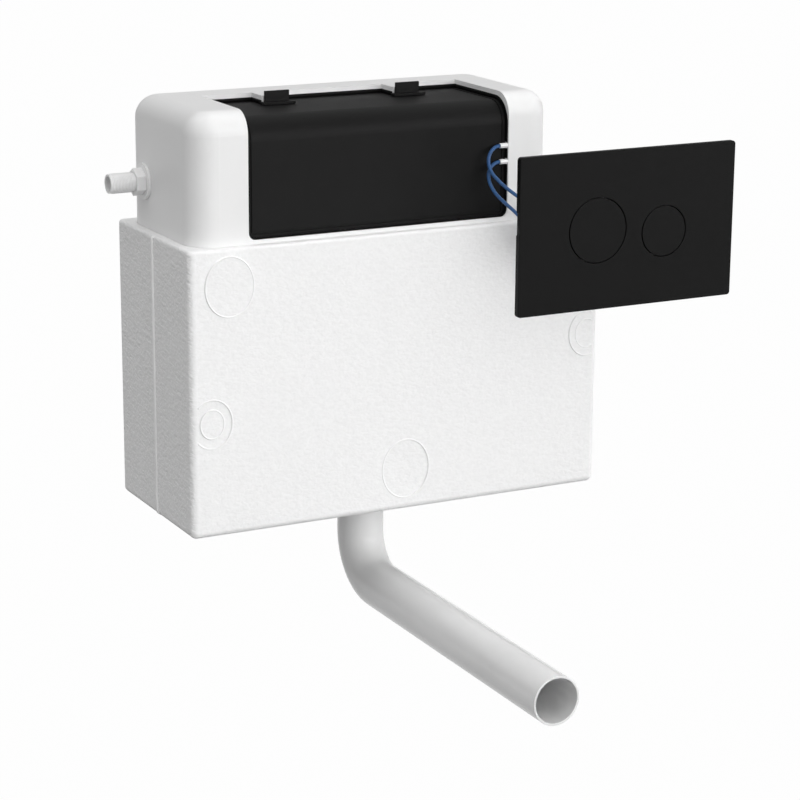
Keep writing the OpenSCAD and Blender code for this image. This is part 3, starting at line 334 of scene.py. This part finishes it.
# Slots in the rim for the two hose sleeves, and how near a slot the even stretches end
SLEEVE_Z = (10.5 * MM, -3.9 * MM)
SLOT_HALF = 2.9 * MM
SLOT_CLEAR = 0.6 * MM


def make_rim():
    """The cover's raised rim: open at the latches' notches and round the two hose sleeves."""
    slots = sorted(z - COVER_BOTTOM_Z for z in SLEEVE_Z)
    runs = [[]]
    for s, x in split_long(cover_outline(), BENT_STEP):
        beside = x > COVER_RIGHT - SLOT_CLEAR
        if not (beside and any(abs(s - slot) < SLOT_HALF + SLOT_CLEAR for slot in slots)):
            runs[-1].append((s, x))
        elif runs[-1]:
            runs.append([])
    # The stretches beside the slots end exactly at the slots' edges
    for i, slot in enumerate(slots):
        runs[i].append((slot - SLOT_HALF, COVER_RIGHT))
        runs[i + 1].insert(0, (slot + SLOT_HALF, COVER_RIGHT))
    runs.append(split_long(middle_outline(), LEVEL_STEP))
    skins = [skin_rows(strip_rows(run, RIM_SECTION)) for run in runs]
    return make_mesh("cover_rim", *join_skins(skins), "cover")


# Groove between the rim and the panel, its floor a strip painted near black as shade: from where to
#  where it runs inwards, and the depths of its floor and of the floor's underside
GROOVE_START = RIM_W - 0.2 * MM
GROOVE_END = 4.45 * MM
GROOVE_TOP = -0.9 * MM
GROOVE_ROOT = -1.2 * MM
GROOVE_SECTION = [(GROOVE_START, GROOVE_ROOT), (GROOVE_START, GROOVE_TOP), (GROOVE_END, GROOVE_TOP),
                  (GROOVE_END, GROOVE_ROOT)]


def make_groove():
    """A strip on the floor of the groove that parts the rim from the panel, painted near black as
    shade.
    """
    runs = (split_long(cover_outline(), BENT_STEP), split_long(middle_outline(), LEVEL_STEP))
    skins = [skin_rows(strip_rows(run, GROOVE_SECTION)) for run in runs]
    return make_mesh("groove_shade_strip", *join_skins(skins), "cover")


cover_rim = make_rim()
groove_shade_strip = make_groove()

# Seam rib of the jacket: the pressed edge where the halves meet, standing a little proud
JACKET_X = 203 * MM
JACKET_FOOT_Z = -312 * MM
JACKET_TOP_Z = -57 * MM
JACKET_FRONT_Y = -165 * MM
JACKET_FOOT_R = 6 * MM
JACKET_RIM_R = 3 * MM
SEAM_Y = -84 * MM
RIB_HALF = 1.4 * MM
RIB_H = 1.4 * MM
RIB_ROOT = 0.3 * MM
RIB_STEPS = 6
# Where the rib ends on the rim, as a share of the rim's radius
RIB_END = 1.15
# Share of its height that the rib keeps round the foot and the rim
RIB_LEFT = 0.1
# Section of the rib, as (across, height): from its root over its rounded top to its root
RIB_SECTION = [(-RIB_HALF, -RIB_ROOT), (-RIB_HALF, 0.15 * MM), (-RIB_HALF * 0.55, RIB_H * 0.9),
               (0, RIB_H), (RIB_HALF * 0.55, RIB_H * 0.9), (RIB_HALF, 0.15 * MM),
               (RIB_HALF, -RIB_ROOT)]


def rib_height(height, out):
    """The rib stands proud on the sides and dies away round the foot and the rim."""
    return height if height < 0 else height * (RIB_LEFT + (1 - RIB_LEFT) * abs(out.x) ** 3)


def make_rib():
    """A low rounded rib over the seam, down both sides and across the foot."""
    foot_r, rim_r = JACKET_FOOT_R, JACKET_RIM_R
    line = [Vector((-JACKET_X + rim_r * RIB_END, 0, JACKET_TOP_Z))]
    aside = [Vector((0, 0, 1))]
    for centre_x, centre_z, radius, start in (
            (-JACKET_X + rim_r, JACKET_TOP_Z - rim_r, rim_r, QUARTER),
            (-JACKET_X + foot_r, JACKET_FOOT_Z + foot_r, foot_r, 2 * QUARTER),
            (JACKET_X - foot_r, JACKET_FOOT_Z + foot_r, foot_r, 3 * QUARTER),
            (JACKET_X - rim_r, JACKET_TOP_Z - rim_r, rim_r, 4 * QUARTER)):
        for i in range(RIB_STEPS + 1):
            turn = start + QUARTER * i / RIB_STEPS
            out = Vector((math.cos(turn), 0, math.sin(turn)))
            line.append(Vector((centre_x, 0, centre_z)) + radius * out)
            aside.append(out)
    line.append(Vector((JACKET_X - rim_r * RIB_END, 0, JACKET_TOP_Z)))
    aside.append(Vector((0, 0, 1)))
    rows = [[spot + out * rib_height(h, out) + Vector((0, SEAM_Y + w, 0)) for w, h in RIB_SECTION]
            for spot, out in zip(line, aside)]
    return make_mesh("jacket_seam", *skin_rows(rows), "cistern")


seam_rib = make_rib()

# Rolled edges of the mould marks, in millimetres: x, z and height of the mark, and how far it
# stands out from the jacket's front
MARKS = [(-165.7, -90.2, 52.5, 0.8), (4.6, -273.4, 52.5, -0.8), (-183, -209.8, 42, -0.8),
         (-183, -209.8, 25.5, 0), (190.5, -167.5, 42, 0.8), (190.5, -167.5, 27, 0.8)]
# Width of a mark for its height
MARK_OVAL = 0.86
MARK_STEPS = 96
ROLL_H = 0.45
# A sunk mark's roll lies so far outside its edge
SUNK_SHIFT = 0.8
# The flat of the front ends here, where the jacket's upright corners begin
FLAT_X = 196.5


def mark_skin(x, z, tall, stands):
    """A thin rolled edge round a mark, left open where the mark runs into a corner."""
    base = max(stands, 0)
    shift = SUNK_SHIFT if stands < 0 else 0
    # Section of the roll, as (outwards, height off the front)
    profile = [(-0.9, -0.4), (-0.75, base), (-0.3, base + ROLL_H), (0.3, base + ROLL_H), (0.75, 0),
               (0.9, -0.4)]
    rows, steps = [], []
    for i in range(MARK_STEPS + 1):
        turn = 2 * math.pi * i / MARK_STEPS
        out = Vector((math.cos(turn), 0, math.sin(turn)))
        spot = Vector((x + tall / 2 * MARK_OVAL * out.x, 0, z + tall / 2 * out.z))
        if abs(spot.x) <= FLAT_X:
            steps.append(i)
            rows.append([(spot + out * (w + shift)) * MM + Vector((0, JACKET_FRONT_Y - h * MM, 0))
                         for w, h in profile])
    if len(rows) == MARK_STEPS + 1:
        return skin_rows(rows[:-1], closed_rows=True)
    # Starts after the open stretch, if the first step isn't in it
    gap = next((k + 1 for k in range(len(rows) - 1) if steps[k + 1] - steps[k] > 1), 0)
    return skin_rows(rows[gap:] + rows[1:gap])


def make_marks():
    return make_mesh("mould_mark_edges", *join_skins(mark_skin(*mark) for mark in MARKS), "cistern")


mark_edges = make_marks()


def lathe(name, centre, axis, profile, body, sides=72):
    """A closed ring turned about an axis.

    The profile is (radius, distance along the axis) in millimetres, and the centre in metres.
    """
    ahead = Vector(axis)
    side = Vector((0, 0, 1)) if abs(ahead.z) < 0.5 else Vector((1, 0, 0))
    across = ahead.cross(side)
    rows = []
    for k in range(sides):
        turn = 2 * math.pi * k / sides
        out = math.cos(turn) * side + math.sin(turn) * across
        rows.append([Vector(centre) + out * r * MM + ahead * t * MM for r, t in profile])
    return make_mesh(name, *skin_rows(rows, closed_rows=True), body)


def lip_ring(inner, outer, thick, lip):
    """Profile of a flat rubber ring with rounded rims and a raised lip round its middle."""
    mid = (inner + outer) / 2
    half = thick / 2
    edge = min(half, (outer - inner) / 6)
    waist = half - lip
    line = [(inner + edge, -waist), (mid - edge, -waist), (mid, -half), (mid + edge, -waist),
            (outer - edge, -waist), (outer, -waist * 0.5), (outer, waist * 0.5)]
    return line + [(r, -t) for r, t in line[4::-1]] + [(inner, waist * 0.5), (inner, -waist * 0.5)]


# Seals, in millimetres; the outlet stands at x 0, and the inlet tail runs along x
OUTLET_Y = -83
INLET_Y, INLET_Z = -47, -16
SEALS = {
    # name: node, centre, axis, profile, body
    "valve_washer_rubber": ("valve_washer", (0, OUTLET_Y, -246), (0, 0, 1),
                            lip_ring(30.2, 42, 2, 0.25), "cistern"),
    "pipe_seal_rubber": ("pipe_seal", (0, OUTLET_Y, -294), (0, 0, 1),
                         lip_ring(21.6, 29.5, 8, 0.5), "cistern"),
    "inlet_seal_rubber": ("inlet_seal", (-190.6, INLET_Y, INLET_Z), (1, 0, 0),
                          lip_ring(8.55, 13.95, 2, 0.2), "cistern"),
    "seat_seal_rubber": ("seat_seal", (0, OUTLET_Y, -233.3), (0, 0, 1),
                         lip_ring(15.1, 31, 3, 0.3), "plunger"),
}

seals = {}
for name, (node_name, centre, axis, profile, body) in SEALS.items():
    seals[name] = lathe(name, in_metres(centre), axis, profile, body)
    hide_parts(node_name)

# Nearest that a turned profile comes to its axis, in millimetres
AXIS_R = 0.01
# Inlet valve's rubber disc: a thick edge bead, a thin web and a raised middle
DISC_CENTRE = (-160.6, INLET_Y, 5)
DISC_PROFILE = [(AXIS_R, -1.0), (5.2, -1.0), (6.0, -0.5), (9.6, -0.5), (10.2, -1.0),
                (11.6, -1.0), (12.0, -0.5), (12.0, 0.5), (11.6, 1.0), (10.2, 1.0), (9.6, 0.5),
                (6.0, 0.5), (5.2, 1.0), (AXIS_R, 1.0)]
disc = lathe("fill_disc_rubber", in_metres(DISC_CENTRE), (0, 0, 1), DISC_PROFILE, "cistern")
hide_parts("fill_diaphragm")

# Bellows and springs of the two air pumps; in millimetres
PUMP_FRONT_Y = -228.5
PUMP_REAR_Y = -204.3
# Each pump's x and z, its bellows' outer diameter and its spring's mean diameter
PUMPS = {"full": (153.9, -55.2, 45.4, 22), "half": (222.7, -61.4, 33, 16)}
FOLDS = 5
FOLD_STEPS = 10
FOLD_DEPTH = 4.0
RUBBER_T = 1.2
WIRE_D = 1.2
WIRE_SIDES = 10
CURLS = 5
CURL_STEPS = 24
SPRING_FRONT_Y = -226.5
SPRING_REAR_Y = -204.8


def bellows_profile(outer_d):
    """Rounded folds outside, the same folds a wall's thickness in, and a closed front."""
    length = PUMP_REAR_Y - PUMP_FRONT_Y
    steps = FOLD_STEPS * FOLDS
    wave = [(outer_d / 2 - FOLD_DEPTH / 2 * (1 - math.cos(2 * math.pi * FOLDS * i / steps)),
             length * i / steps) for i in range(steps + 1)]
    inner = [(r - RUBBER_T, t) for r, t in wave if t >= RUBBER_T]
    return [(AXIS_R, 0.0)] + wave + inner[::-1] + [(AXIS_R, RUBBER_T)]


def spring_line(x, z, mean_d):
    """A compression spring's wire: a flat curl at each end and open curls between."""
    turns = CURLS + 1
    low, high = SPRING_FRONT_Y + WIRE_D / 2, SPRING_REAR_Y - WIRE_D / 2
    line = []
    for i in range(turns * CURL_STEPS + 1):
        turn = i / CURL_STEPS
        angle = 2 * math.pi * turn
        # The first and the last half turn lie flat
        share = min(max((turn - 0.5) / (turns - 1), 0), 1)
        line.append(in_metres((x + mean_d / 2 * math.cos(angle), low + (high - low) * share,
                               z + mean_d / 2 * math.sin(angle))))
    return line


rubber_bellows, wire_springs = [], []
for size, (x, z, outer_d, mean_d) in PUMPS.items():
    bellows = lathe(f"{size}_folded_bellows", in_metres((x, PUMP_FRONT_Y, z)), (0, 1, 0),
                    bellows_profile(outer_d), "cistern")
    rows = tube_rows(spring_line(x, z, mean_d), WIRE_D * MM, WIRE_SIDES)
    spring = make_mesh(f"{size}_wound_spring", *skin_rows(rows), "cistern")
    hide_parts(f"{size}_bellows")
    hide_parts(f"{size}_spring")
    for piece in (bellows, spring):
        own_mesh(piece)
    rubber_bellows.append(bellows)
    wire_springs.append(spring)

# Thread on the inlet tail, G 3/8 with 19 threads to the inch, in millimetres
THREAD_PITCH = 25.4 / 19
THREAD_R = 8.45
THREAD_H = 0.45
THREAD_SIDES = 40
TAIL_X = (-227.6, -206.6)
# Share of its height that the ridge keeps at its ends
THREAD_LEFT = 0.05
# Section of the ridge, as (along, height), in shares of the pitch and of the thread's height
THREAD_SECTION = [(-0.46, -0.15), (-0.30, 0.02), (-0.1, 1.0), (0.1, 1.0), (0.30, 0.02),
                  (0.46, -0.15)]


def make_thread():
    """A rounded ridge wound along the tail, thinning out at both ends."""
    turns = (TAIL_X[1] - TAIL_X[0]) / THREAD_PITCH - 1
    steps = int(turns * THREAD_SIDES)
    rows = []
    for i in range(steps + 1):
        turn = 2 * math.pi * i / THREAD_SIDES
        fade = max(min(1, i / THREAD_SIDES, (steps - i) / THREAD_SIDES), THREAD_LEFT)
        x = TAIL_X[0] + THREAD_PITCH * (0.5 + i / THREAD_SIDES)
        out = Vector((0, math.cos(turn), math.sin(turn)))
        rows.append([in_metres((x + THREAD_PITCH * w, INLET_Y, INLET_Z))
                     + out * (THREAD_R + THREAD_H * h * fade) * MM for w, h in THREAD_SECTION])
    return make_mesh("inlet_thread", *skin_rows(rows), "cistern")


thread = make_thread()

# Foam seal under the cover's edge: the solid's own outline, whose edges are eased below
gasket_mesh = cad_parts["cover_gasket"].data.copy()
gasket = bpy.data.objects.new("cover_foam_seal", gasket_mesh)
bpy.context.scene.collection.objects.link(gasket)
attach(gasket, "cover")
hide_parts("cover_gasket")

# Easing of edges: how near split edges join, the angle up to which faces count as one flat,
# the angle from which an edge is rounded, its segments, and the pull of large faces on shading
JOIN_MM = 0.002
FLAT_DEG = 0.4
SHARP_DEG = 35
EDGE_SEGMENTS = 2
FACE_PULL = 80


def ease_edges(piece, width_mm):
    """Joins the solid's split edges, rounds the sharp ones and shades the rest smoothly."""
    weld = piece.modifiers.new("join", "WELD")
    weld.merge_threshold = JOIN_MM * MM
    flat = piece.modifiers.new("flat_faces", "DECIMATE")
    flat.decimate_type = "DISSOLVE"
    flat.angle_limit = math.radians(FLAT_DEG)
    bevel = piece.modifiers.new("eased_edges", "BEVEL")
    bevel.width = width_mm * MM
    bevel.segments = EDGE_SEGMENTS
    bevel.limit_method = "ANGLE"
    bevel.angle_limit = math.radians(SHARP_DEG)
    keep = piece.modifiers.new("even_shading", "WEIGHTED_NORMAL")
    keep.keep_sharp = True
    keep.weight = FACE_PULL


# Edge radii of the moulded parts, in millimetres
GASKET_EDGE = 0.4
EASED = {"flush_plate": 0.6, "full_button": 0.5, "half_button": 0.5, "left_latch": 0.6,
         "right_latch": 0.6, "inlet_backnut": 0.5, "inlet_collar": 0.5, "hose_ferrules": 0.3,
         "flush_pipe": 0.5, "access_cover": 0.3, "stud_nuts": 0.3, "pipe_nut": 0.6,
         "valve_backnut": 0.6, "float_lever": 0.4, "lift_yoke": 0.4, "fill_float": 0.8}
for name, width in EASED.items():
    ease_edges(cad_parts[name], width)
ease_edges(gasket, GASKET_EDGE)


def add(tree, kind, settings, links):
    """Adds a node, sets its properties, and fills or links its sockets."""
    made = tree.nodes.new(kind)
    for name, value in settings.items():
        setattr(made, name, value)
    for name, value in links.items():
        if isinstance(value, bpy.types.NodeSocket):
            tree.links.new(value, made.inputs[name])
        else:
            made.inputs[name].default_value = value
    return made


def new_material(name):
    """An empty material, its tree, and object coordinates in metres."""
    material = bpy.data.materials.new(name)
    material.use_nodes = True
    tree = material.node_tree
    tree.nodes.clear()
    place = add(tree, "ShaderNodeTexCoord", {}, {}).outputs["Object"]
    return material, tree, place


def finish_material(tree, shader):
    add(tree, "ShaderNodeOutputMaterial", {}, {"Surface": shader.outputs["BSDF"]})


def shade_between(tree, dark, light, factor, low=0.3, high=0.7):
    """Colour that goes from dark to light as factor goes from low to high."""
    ramp = add(tree, "ShaderNodeValToRGB", {}, {"Fac": factor})
    ramp.color_ramp.elements[0].position = low
    ramp.color_ramp.elements[0].color = linear(dark)
    ramp.color_ramp.elements[1].position = high
    ramp.color_ramp.elements[1].color = linear(light)
    return ramp.outputs["Color"]


def per_mm(size_mm):
    """Texture scale whose features are about size_mm across."""
    return 1 / (size_mm * MM)


# Materials


def expanded_polystyrene(name, dark, light, depth_mm, front_share):
    """Steam-moulded bead foam: matt, its small beads pressed flat into faint streaks.

    The eye gets a paper-white matt skin with short shallow ripples, clearest in raking light.
    """
    # Beads of 2 to 3 mm, pressed into ripples that are over twice as long as thick, and that
    # run level on the front and fall towards it on the sides
    bead_mm = 2.6
    ripple_mm = 2.7
    ripple_fall_deg = 20
    ripple_stretch = (2.0, 2.4, 1.0)
    # Height comes from the ripples and this share of the beads
    bead_share = 0.2
    material, tree, place = new_material(name)
    lean = add(tree, "ShaderNodeMapping", {"vector_type": "TEXTURE"}, {
        "Vector": place, "Rotation": (math.radians(ripple_fall_deg), 0, 0),
        "Scale": ripple_stretch})
    ripples = add(tree, "ShaderNodeTexNoise", {}, {
        "Vector": lean.outputs["Vector"], "Scale": per_mm(ripple_mm), "Detail": 2.0,
        "Roughness": 0.5, "Distortion": 0.5})
    beads = add(tree, "ShaderNodeTexVoronoi", {"feature": "SMOOTH_F1"}, {
        "Vector": place, "Scale": per_mm(bead_mm), "Smoothness": 0.8})
    grain = add(tree, "ShaderNodeMix", {"data_type": "FLOAT"}, {
        "Factor": bead_share, "A": ripples.outputs["Fac"], "B": beads.outputs["Distance"]})
    tone = shade_between(tree, dark, light, grain.outputs["Result"], 0.3, 0.65)
    # The sides keep the ripples that the smoother front face has lost
    facing = add(tree, "ShaderNodeSeparateXYZ", {}, {
        "Vector": add(tree, "ShaderNodeNewGeometry", {}, {}).outputs["True Normal"]})
    sideways = add(tree, "ShaderNodeMath", {"operation": "ABSOLUTE"}, {0: facing.outputs["X"]})
    relief = add(tree, "ShaderNodeMapRange", {}, {
        "Value": sideways.outputs[0], "From Min": 0.3, "From Max": 0.8, "To Min": front_share,
        "To Max": 1.0})
    bump = add(tree, "ShaderNodeBump", {}, {
        "Strength": relief.outputs["Result"], "Distance": depth_mm * MM,
        "Height": grain.outputs["Result"]})
    shader = add(tree, "ShaderNodeBsdfPrincipled", {}, {
        "Base Color": tone, "Roughness": 0.88, "IOR": 1.45, "Specular IOR Level": 0.2,
        "Normal": bump.outputs["Normal"]})
    finish_material(tree, shader)
    return material


def moulded_plastic(name, dark, light, roughness, specular, ior, mottle_mm, grain_mm,
                    grain_depth_mm):
    """Moulded thermoplastic: a slight mottle in the colour and the fine grain of its tool."""
    material, tree, place = new_material(name)
    mottle = add(tree, "ShaderNodeTexNoise", {}, {
        "Vector": place, "Scale": per_mm(mottle_mm), "Detail": 3.0})
    tone = shade_between(tree, dark, light, mottle.outputs["Fac"])
    grain = add(tree, "ShaderNodeTexNoise", {}, {
        "Vector": place, "Scale": per_mm(grain_mm), "Detail": 2.0})
    gloss = add(tree, "ShaderNodeMapRange", {}, {
        "Value": mottle.outputs["Fac"], "To Min": roughness * 0.93, "To Max": roughness * 1.07})
    bump = add(tree, "ShaderNodeBump", {}, {
        "Strength": 0.6, "Distance": grain_depth_mm * MM, "Height": grain.outputs["Fac"]})
    shader = add(tree, "ShaderNodeBsdfPrincipled", {}, {
        "Base Color": tone, "Roughness": gloss.outputs["Result"], "IOR": ior,
        "Specular IOR Level": specular, "Normal": bump.outputs["Normal"]})
    finish_material(tree, shader)
    return material


def zinc_plated_steel():
    """Bright zinc on drawn steel wire: a grey metal with fine drawing marks."""
    material, tree, place = new_material("zinc_plated_steel")
    marks = add(tree, "ShaderNodeTexNoise", {}, {
        "Vector": place, "Scale": per_mm(0.6), "Detail": 4.0})
    rough = add(tree, "ShaderNodeMapRange", {}, {
        "Value": marks.outputs["Fac"], "To Min": 0.22, "To Max": 0.42})
    shader = add(tree, "ShaderNodeBsdfPrincipled", {}, {
        "Base Color": linear("#C4C8CC"), "Metallic": 1.0, "Roughness": rough.outputs["Result"]})
    finish_material(tree, shader)
    return material


foam = expanded_polystyrene("steam_moulded_polystyrene", "#F4F4F4", "#F9F9F9", depth_mm=1.5,
                            front_share=0.3)
# The seam's pressed edge is denser, so smoother and a shade brighter
seam_foam = moulded_plastic(
    "pressed_foam_edge", "#F8F8F8", "#FBFBFB", roughness=0.8, specular=0.2, ior=1.45, mottle_mm=8,
    grain_mm=2, grain_depth_mm=0.05)
# Blow-moulded polyethylene: waxy and even, with a slow ripple where it cooled
polyethylene = moulded_plastic(
    "blow_moulded_polyethylene", "#EAEAEA", "#EDEDED", roughness=0.42, specular=0.42, ior=1.51,
    mottle_mm=70, grain_mm=14, grain_depth_mm=0.03)
# Injection-moulded black polypropylene: a fine spark-eroded grain, drawn coarser at 0.8 mm to show
black_polypropylene = moulded_plastic(
    "grained_black_polypropylene", "#101010", "#131313", roughness=0.5, specular=0.12, ior=1.49,
    mottle_mm=40, grain_mm=0.8, grain_depth_mm=0.04)
# The same plastic on the groove's floor, painted flat and near black as shade
groove_painted_shade = moulded_plastic(
    "painted_groove_shade", "#050505", "#070707", roughness=0.9, specular=0.03, ior=1.49,
    mottle_mm=12, grain_mm=0.8, grain_depth_mm=0.04)
# Satin black ABS of the flush plate, fine grain drawn at 0.6 mm
satin_abs = moulded_plastic(
    "satin_black_abs", "#090909", "#0B0B0B", roughness=0.45, specular=0.09, ior=1.54,
    mottle_mm=50, grain_mm=0.6, grain_depth_mm=0.02)
# Glass-filled polyamide of the hidden frame and pumps: dull, with faint fibre flow
black_nylon = moulded_plastic(
    "glass_filled_polyamide", "#181818", "#202020", roughness=0.6, specular=0.25, ior=1.53,
    mottle_mm=8, grain_mm=0.8, grain_depth_mm=0.05)
# Injection-moulded acetal: dense, smooth and slightly waxy
white_acetal = moulded_plastic(
    "white_acetal", "#EEEEEE", "#F2F2F2", roughness=0.34, specular=0.45, ior=1.48, mottle_mm=30,
    grain_mm=3, grain_depth_mm=0.02)
grey_acetal = moulded_plastic(
    "grey_acetal", "#C9CDCD", "#D8DBDB", roughness=0.34, specular=0.45, ior=1.48, mottle_mm=30,
    grain_mm=3, grain_depth_mm=0.02)
blue_acetal = moulded_plastic(
    "blue_acetal", "#2A64A0", "#3478BC", roughness=0.34, specular=0.45, ior=1.48, mottle_mm=20,
    grain_mm=3, grain_depth_mm=0.02)
# Drawn polypropylene pipe: glossy, with long soft waves from the draw
drawn_pipe = moulded_plastic(
    "drawn_polypropylene", "#E6E6E6", "#EBEBEB", roughness=0.22, specular=0.5, ior=1.49,
    mottle_mm=80, grain_mm=26, grain_depth_mm=0.06)
# Foamed polystyrene floats in a closed skin
float_plastic = moulded_plastic(
    "pale_blue_polystyrene", "#C2D6E2", "#D2E2EC", roughness=0.4, specular=0.4, ior=1.59,
    mottle_mm=20, grain_mm=2, grain_depth_mm=0.03)
# Extruded polyurethane air hose: smooth, slightly sticky gloss
hose_plastic = moulded_plastic(
    "blue_polyurethane", "#2A5080", "#305A8A", roughness=0.32, specular=0.35, ior=1.5,
    mottle_mm=12, grain_mm=2, grain_depth_mm=0.01)
# Moulded rubbers: dull, with a powdery skin
black_rubber = moulded_plastic(
    "black_epdm_rubber", "#1B1B1B", "#242424", roughness=0.7, specular=0.25, ior=1.52,
    mottle_mm=6, grain_mm=0.6, grain_depth_mm=0.04)
grey_rubber = moulded_plastic(
    "foam_rubber_strip", "#343434", "#404040", roughness=0.85, specular=0.15, ior=1.5,
    mottle_mm=3, grain_mm=0.5, grain_depth_mm=0.15)
red_rubber = moulded_plastic(
    "red_silicone_rubber", "#8E3422", "#A4402C", roughness=0.5, specular=0.35, ior=1.42,
    mottle_mm=10, grain_mm=1, grain_depth_mm=0.03)
steel = zinc_plated_steel()

FINISHES = {
    foam: ["front_jacket", "rear_jacket"],
    polyethylene: ["tank"],
    black_polypropylene: ["access_cover", "left_latch", "right_latch"],
    satin_abs: ["flush_plate", "full_button", "half_button"],
    black_nylon: ["plate_frame", "full_pump_case", "half_pump_case"],
    white_acetal: ["valve_base", "valve_tower", "valve_backnut", "pipe_nut", "overflow_tube",
                   "fill_valve_body", "inlet_collar", "inlet_backnut", "hose_ferrules"],
    grey_acetal: ["actuator_housing", "seal_retainer", "fill_cap", "lift_yoke", "adjust_rod"],
    blue_acetal: ["full_piston", "half_piston", "float_lever"],
    drawn_pipe: ["flush_pipe"],
    float_plastic: ["full_float", "half_float", "fill_float"],
    hose_plastic: ["inner_hose_full", "inner_hose_half", "outer_hose_full", "outer_hose_half"],
    black_rubber: ["valve_washer", "pipe_seal", "inlet_seal", "fill_diaphragm", "full_bellows",
                   "half_bellows"],
    grey_rubber: ["cover_gasket"],
    red_rubber: ["seat_seal"],
    steel: ["plate_studs", "stud_nuts", "lever_pin", "full_spring", "half_spring"],
}


def paint(piece, material):
    piece.data.materials.clear()
    piece.data.materials.append(material)


for material, names in FINISHES.items():
    for name in names:
        paint(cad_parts[name], material)
for hose in hoses:
    paint(hose, hose_plastic)
for piece in [disc] + rubber_bellows + [seals[n] for n in seals if n != "seat_seal_rubber"]:
    paint(piece, black_rubber)
for piece in wire_springs:
    paint(piece, steel)
paint(seals["seat_seal_rubber"], red_rubber)
paint(cover_rim, black_polypropylene)
# The groove's floor gets painted shade, near black
paint(groove_shade_strip, groove_painted_shade)
paint(seam_rib, seam_foam)
paint(mark_edges, seam_foam)
paint(thread, white_acetal)
paint(gasket, grey_rubber)

# Stage: a pale floor well under the hung cistern, a white surround and soft light
FLOOR_Z = -0.8
FLOOR_HALF = 12.0
# Share of the floor's look that is an even white glow, so that it fades into the surround
FLOOR_GLOW = 0.985


def shown_rays(tree, kinds):
    """1 for the rays that see the background, 0 for those that light the object."""
    path = add(tree, "ShaderNodeLightPath", {}, {})
    shown = path.outputs[kinds[0]]
    for kind in kinds[1:]:
        shown = add(tree, "ShaderNodeMath", {"operation": "MAXIMUM"},
                    {0: shown, 1: path.outputs[kind]}).outputs[0]
    return shown


def make_floor():
    mesh = bpy.data.meshes.new("floor")
    corners = [(-FLOOR_HALF, -FLOOR_HALF), (FLOOR_HALF, -FLOOR_HALF), (FLOOR_HALF, FLOOR_HALF),
               (-FLOOR_HALF, FLOOR_HALF)]
    mesh.from_pydata([(x, y, FLOOR_Z) for x, y in corners], [], [(0, 1, 2, 3)])
    floor = bpy.data.objects.new("floor", mesh)
    bpy.context.scene.collection.objects.link(floor)
    material = bpy.data.materials.new("pale_floor_paint")
    material.use_nodes = True
    tree = material.node_tree
    tree.nodes.clear()
    # The floor throws little light up, so that undersides stay as dark as in the photograph
    coat = add(tree, "ShaderNodeBsdfDiffuse", {}, {"Color": linear("#8C8C8C")})
    glow = add(tree, "ShaderNodeEmission", {}, {"Color": (1, 1, 1, 1), "Strength": 1.0})
    shown = shown_rays(tree, ["Is Camera Ray", "Is Glossy Ray", "Is Transmission Ray"])
    share = add(tree, "ShaderNodeMath", {"operation": "MULTIPLY"}, {0: shown, 1: FLOOR_GLOW})
    mixed = add(tree, "ShaderNodeMixShader", {}, {
        "Fac": share.outputs[0], 1: coat.outputs[0], 2: glow.outputs[0]})
    add(tree, "ShaderNodeOutputMaterial", {}, {"Surface": mixed.outputs[0]})
    mesh.materials.append(material)


# Light that the surround gives, and the level at which it is seen
SKY_LIGHT = 0.34
SKY_SEEN = 1.0
# Name, strength, angle across in degrees, and the direction that the light comes from
SOFTBOXES = (("front_softbox", 4.5, 90, (0.35, -0.9, -0.25)),
             ("front_fill", 0.15, 60, (0.45, -0.85, 0.25)),
             ("left_softbox", 0.22, 50, (-0.82, -0.3, 0.48)),
             ("top_softbox", 1.25, 100, (0, 0, 1)),
             ("right_softbox", 0.26, 80, (0.95, -0.3, 0.1)))
PLATE_PARTS = ("flush_plate", "full_button", "half_button", "plate_frame", "full_pump_case",
               "half_pump_case", "plate_studs", "stud_nuts")


def make_light():
    world = bpy.data.worlds.new("studio")
    world.use_nodes = True
    tree = world.node_tree
    tree.nodes.clear()
    shown = shown_rays(tree, ["Is Camera Ray", "Is Transmission Ray"])
    level = add(tree, "ShaderNodeMapRange", {}, {
        "Value": shown, "To Min": SKY_LIGHT, "To Max": SKY_SEEN})
    sky = add(tree, "ShaderNodeBackground", {}, {
        "Color": (1, 1, 1, 1), "Strength": level.outputs["Result"]})
    add(tree, "ShaderNodeOutputWorld", {}, {"Surface": sky.outputs[0]})
    bpy.context.scene.world = world
    # The plate hangs clear in front, and the photograph has no shadow of it on the foam
    held = bpy.data.collections.new("plate_casts_no_shadow")
    for name in PLATE_PARTS:
        held.objects.link(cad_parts[name])
    for name, strength, spread, towards in SOFTBOXES:
        sun = bpy.data.lights.new(name, "SUN")
        sun.energy = strength
        sun.angle = math.radians(spread)
        lamp = bpy.data.objects.new(name, sun)
        lamp.rotation_euler = Vector(towards).to_track_quat("Z", "Y").to_euler()
        bpy.context.scene.collection.objects.link(lamp)
        lamp.light_linking.blocker_collection = held
    for link in held.collection_objects:
        link.light_linking.link_state = "EXCLUDE"


make_floor()
make_light()
bpy.context.scene.view_settings.view_transform = "Standard"
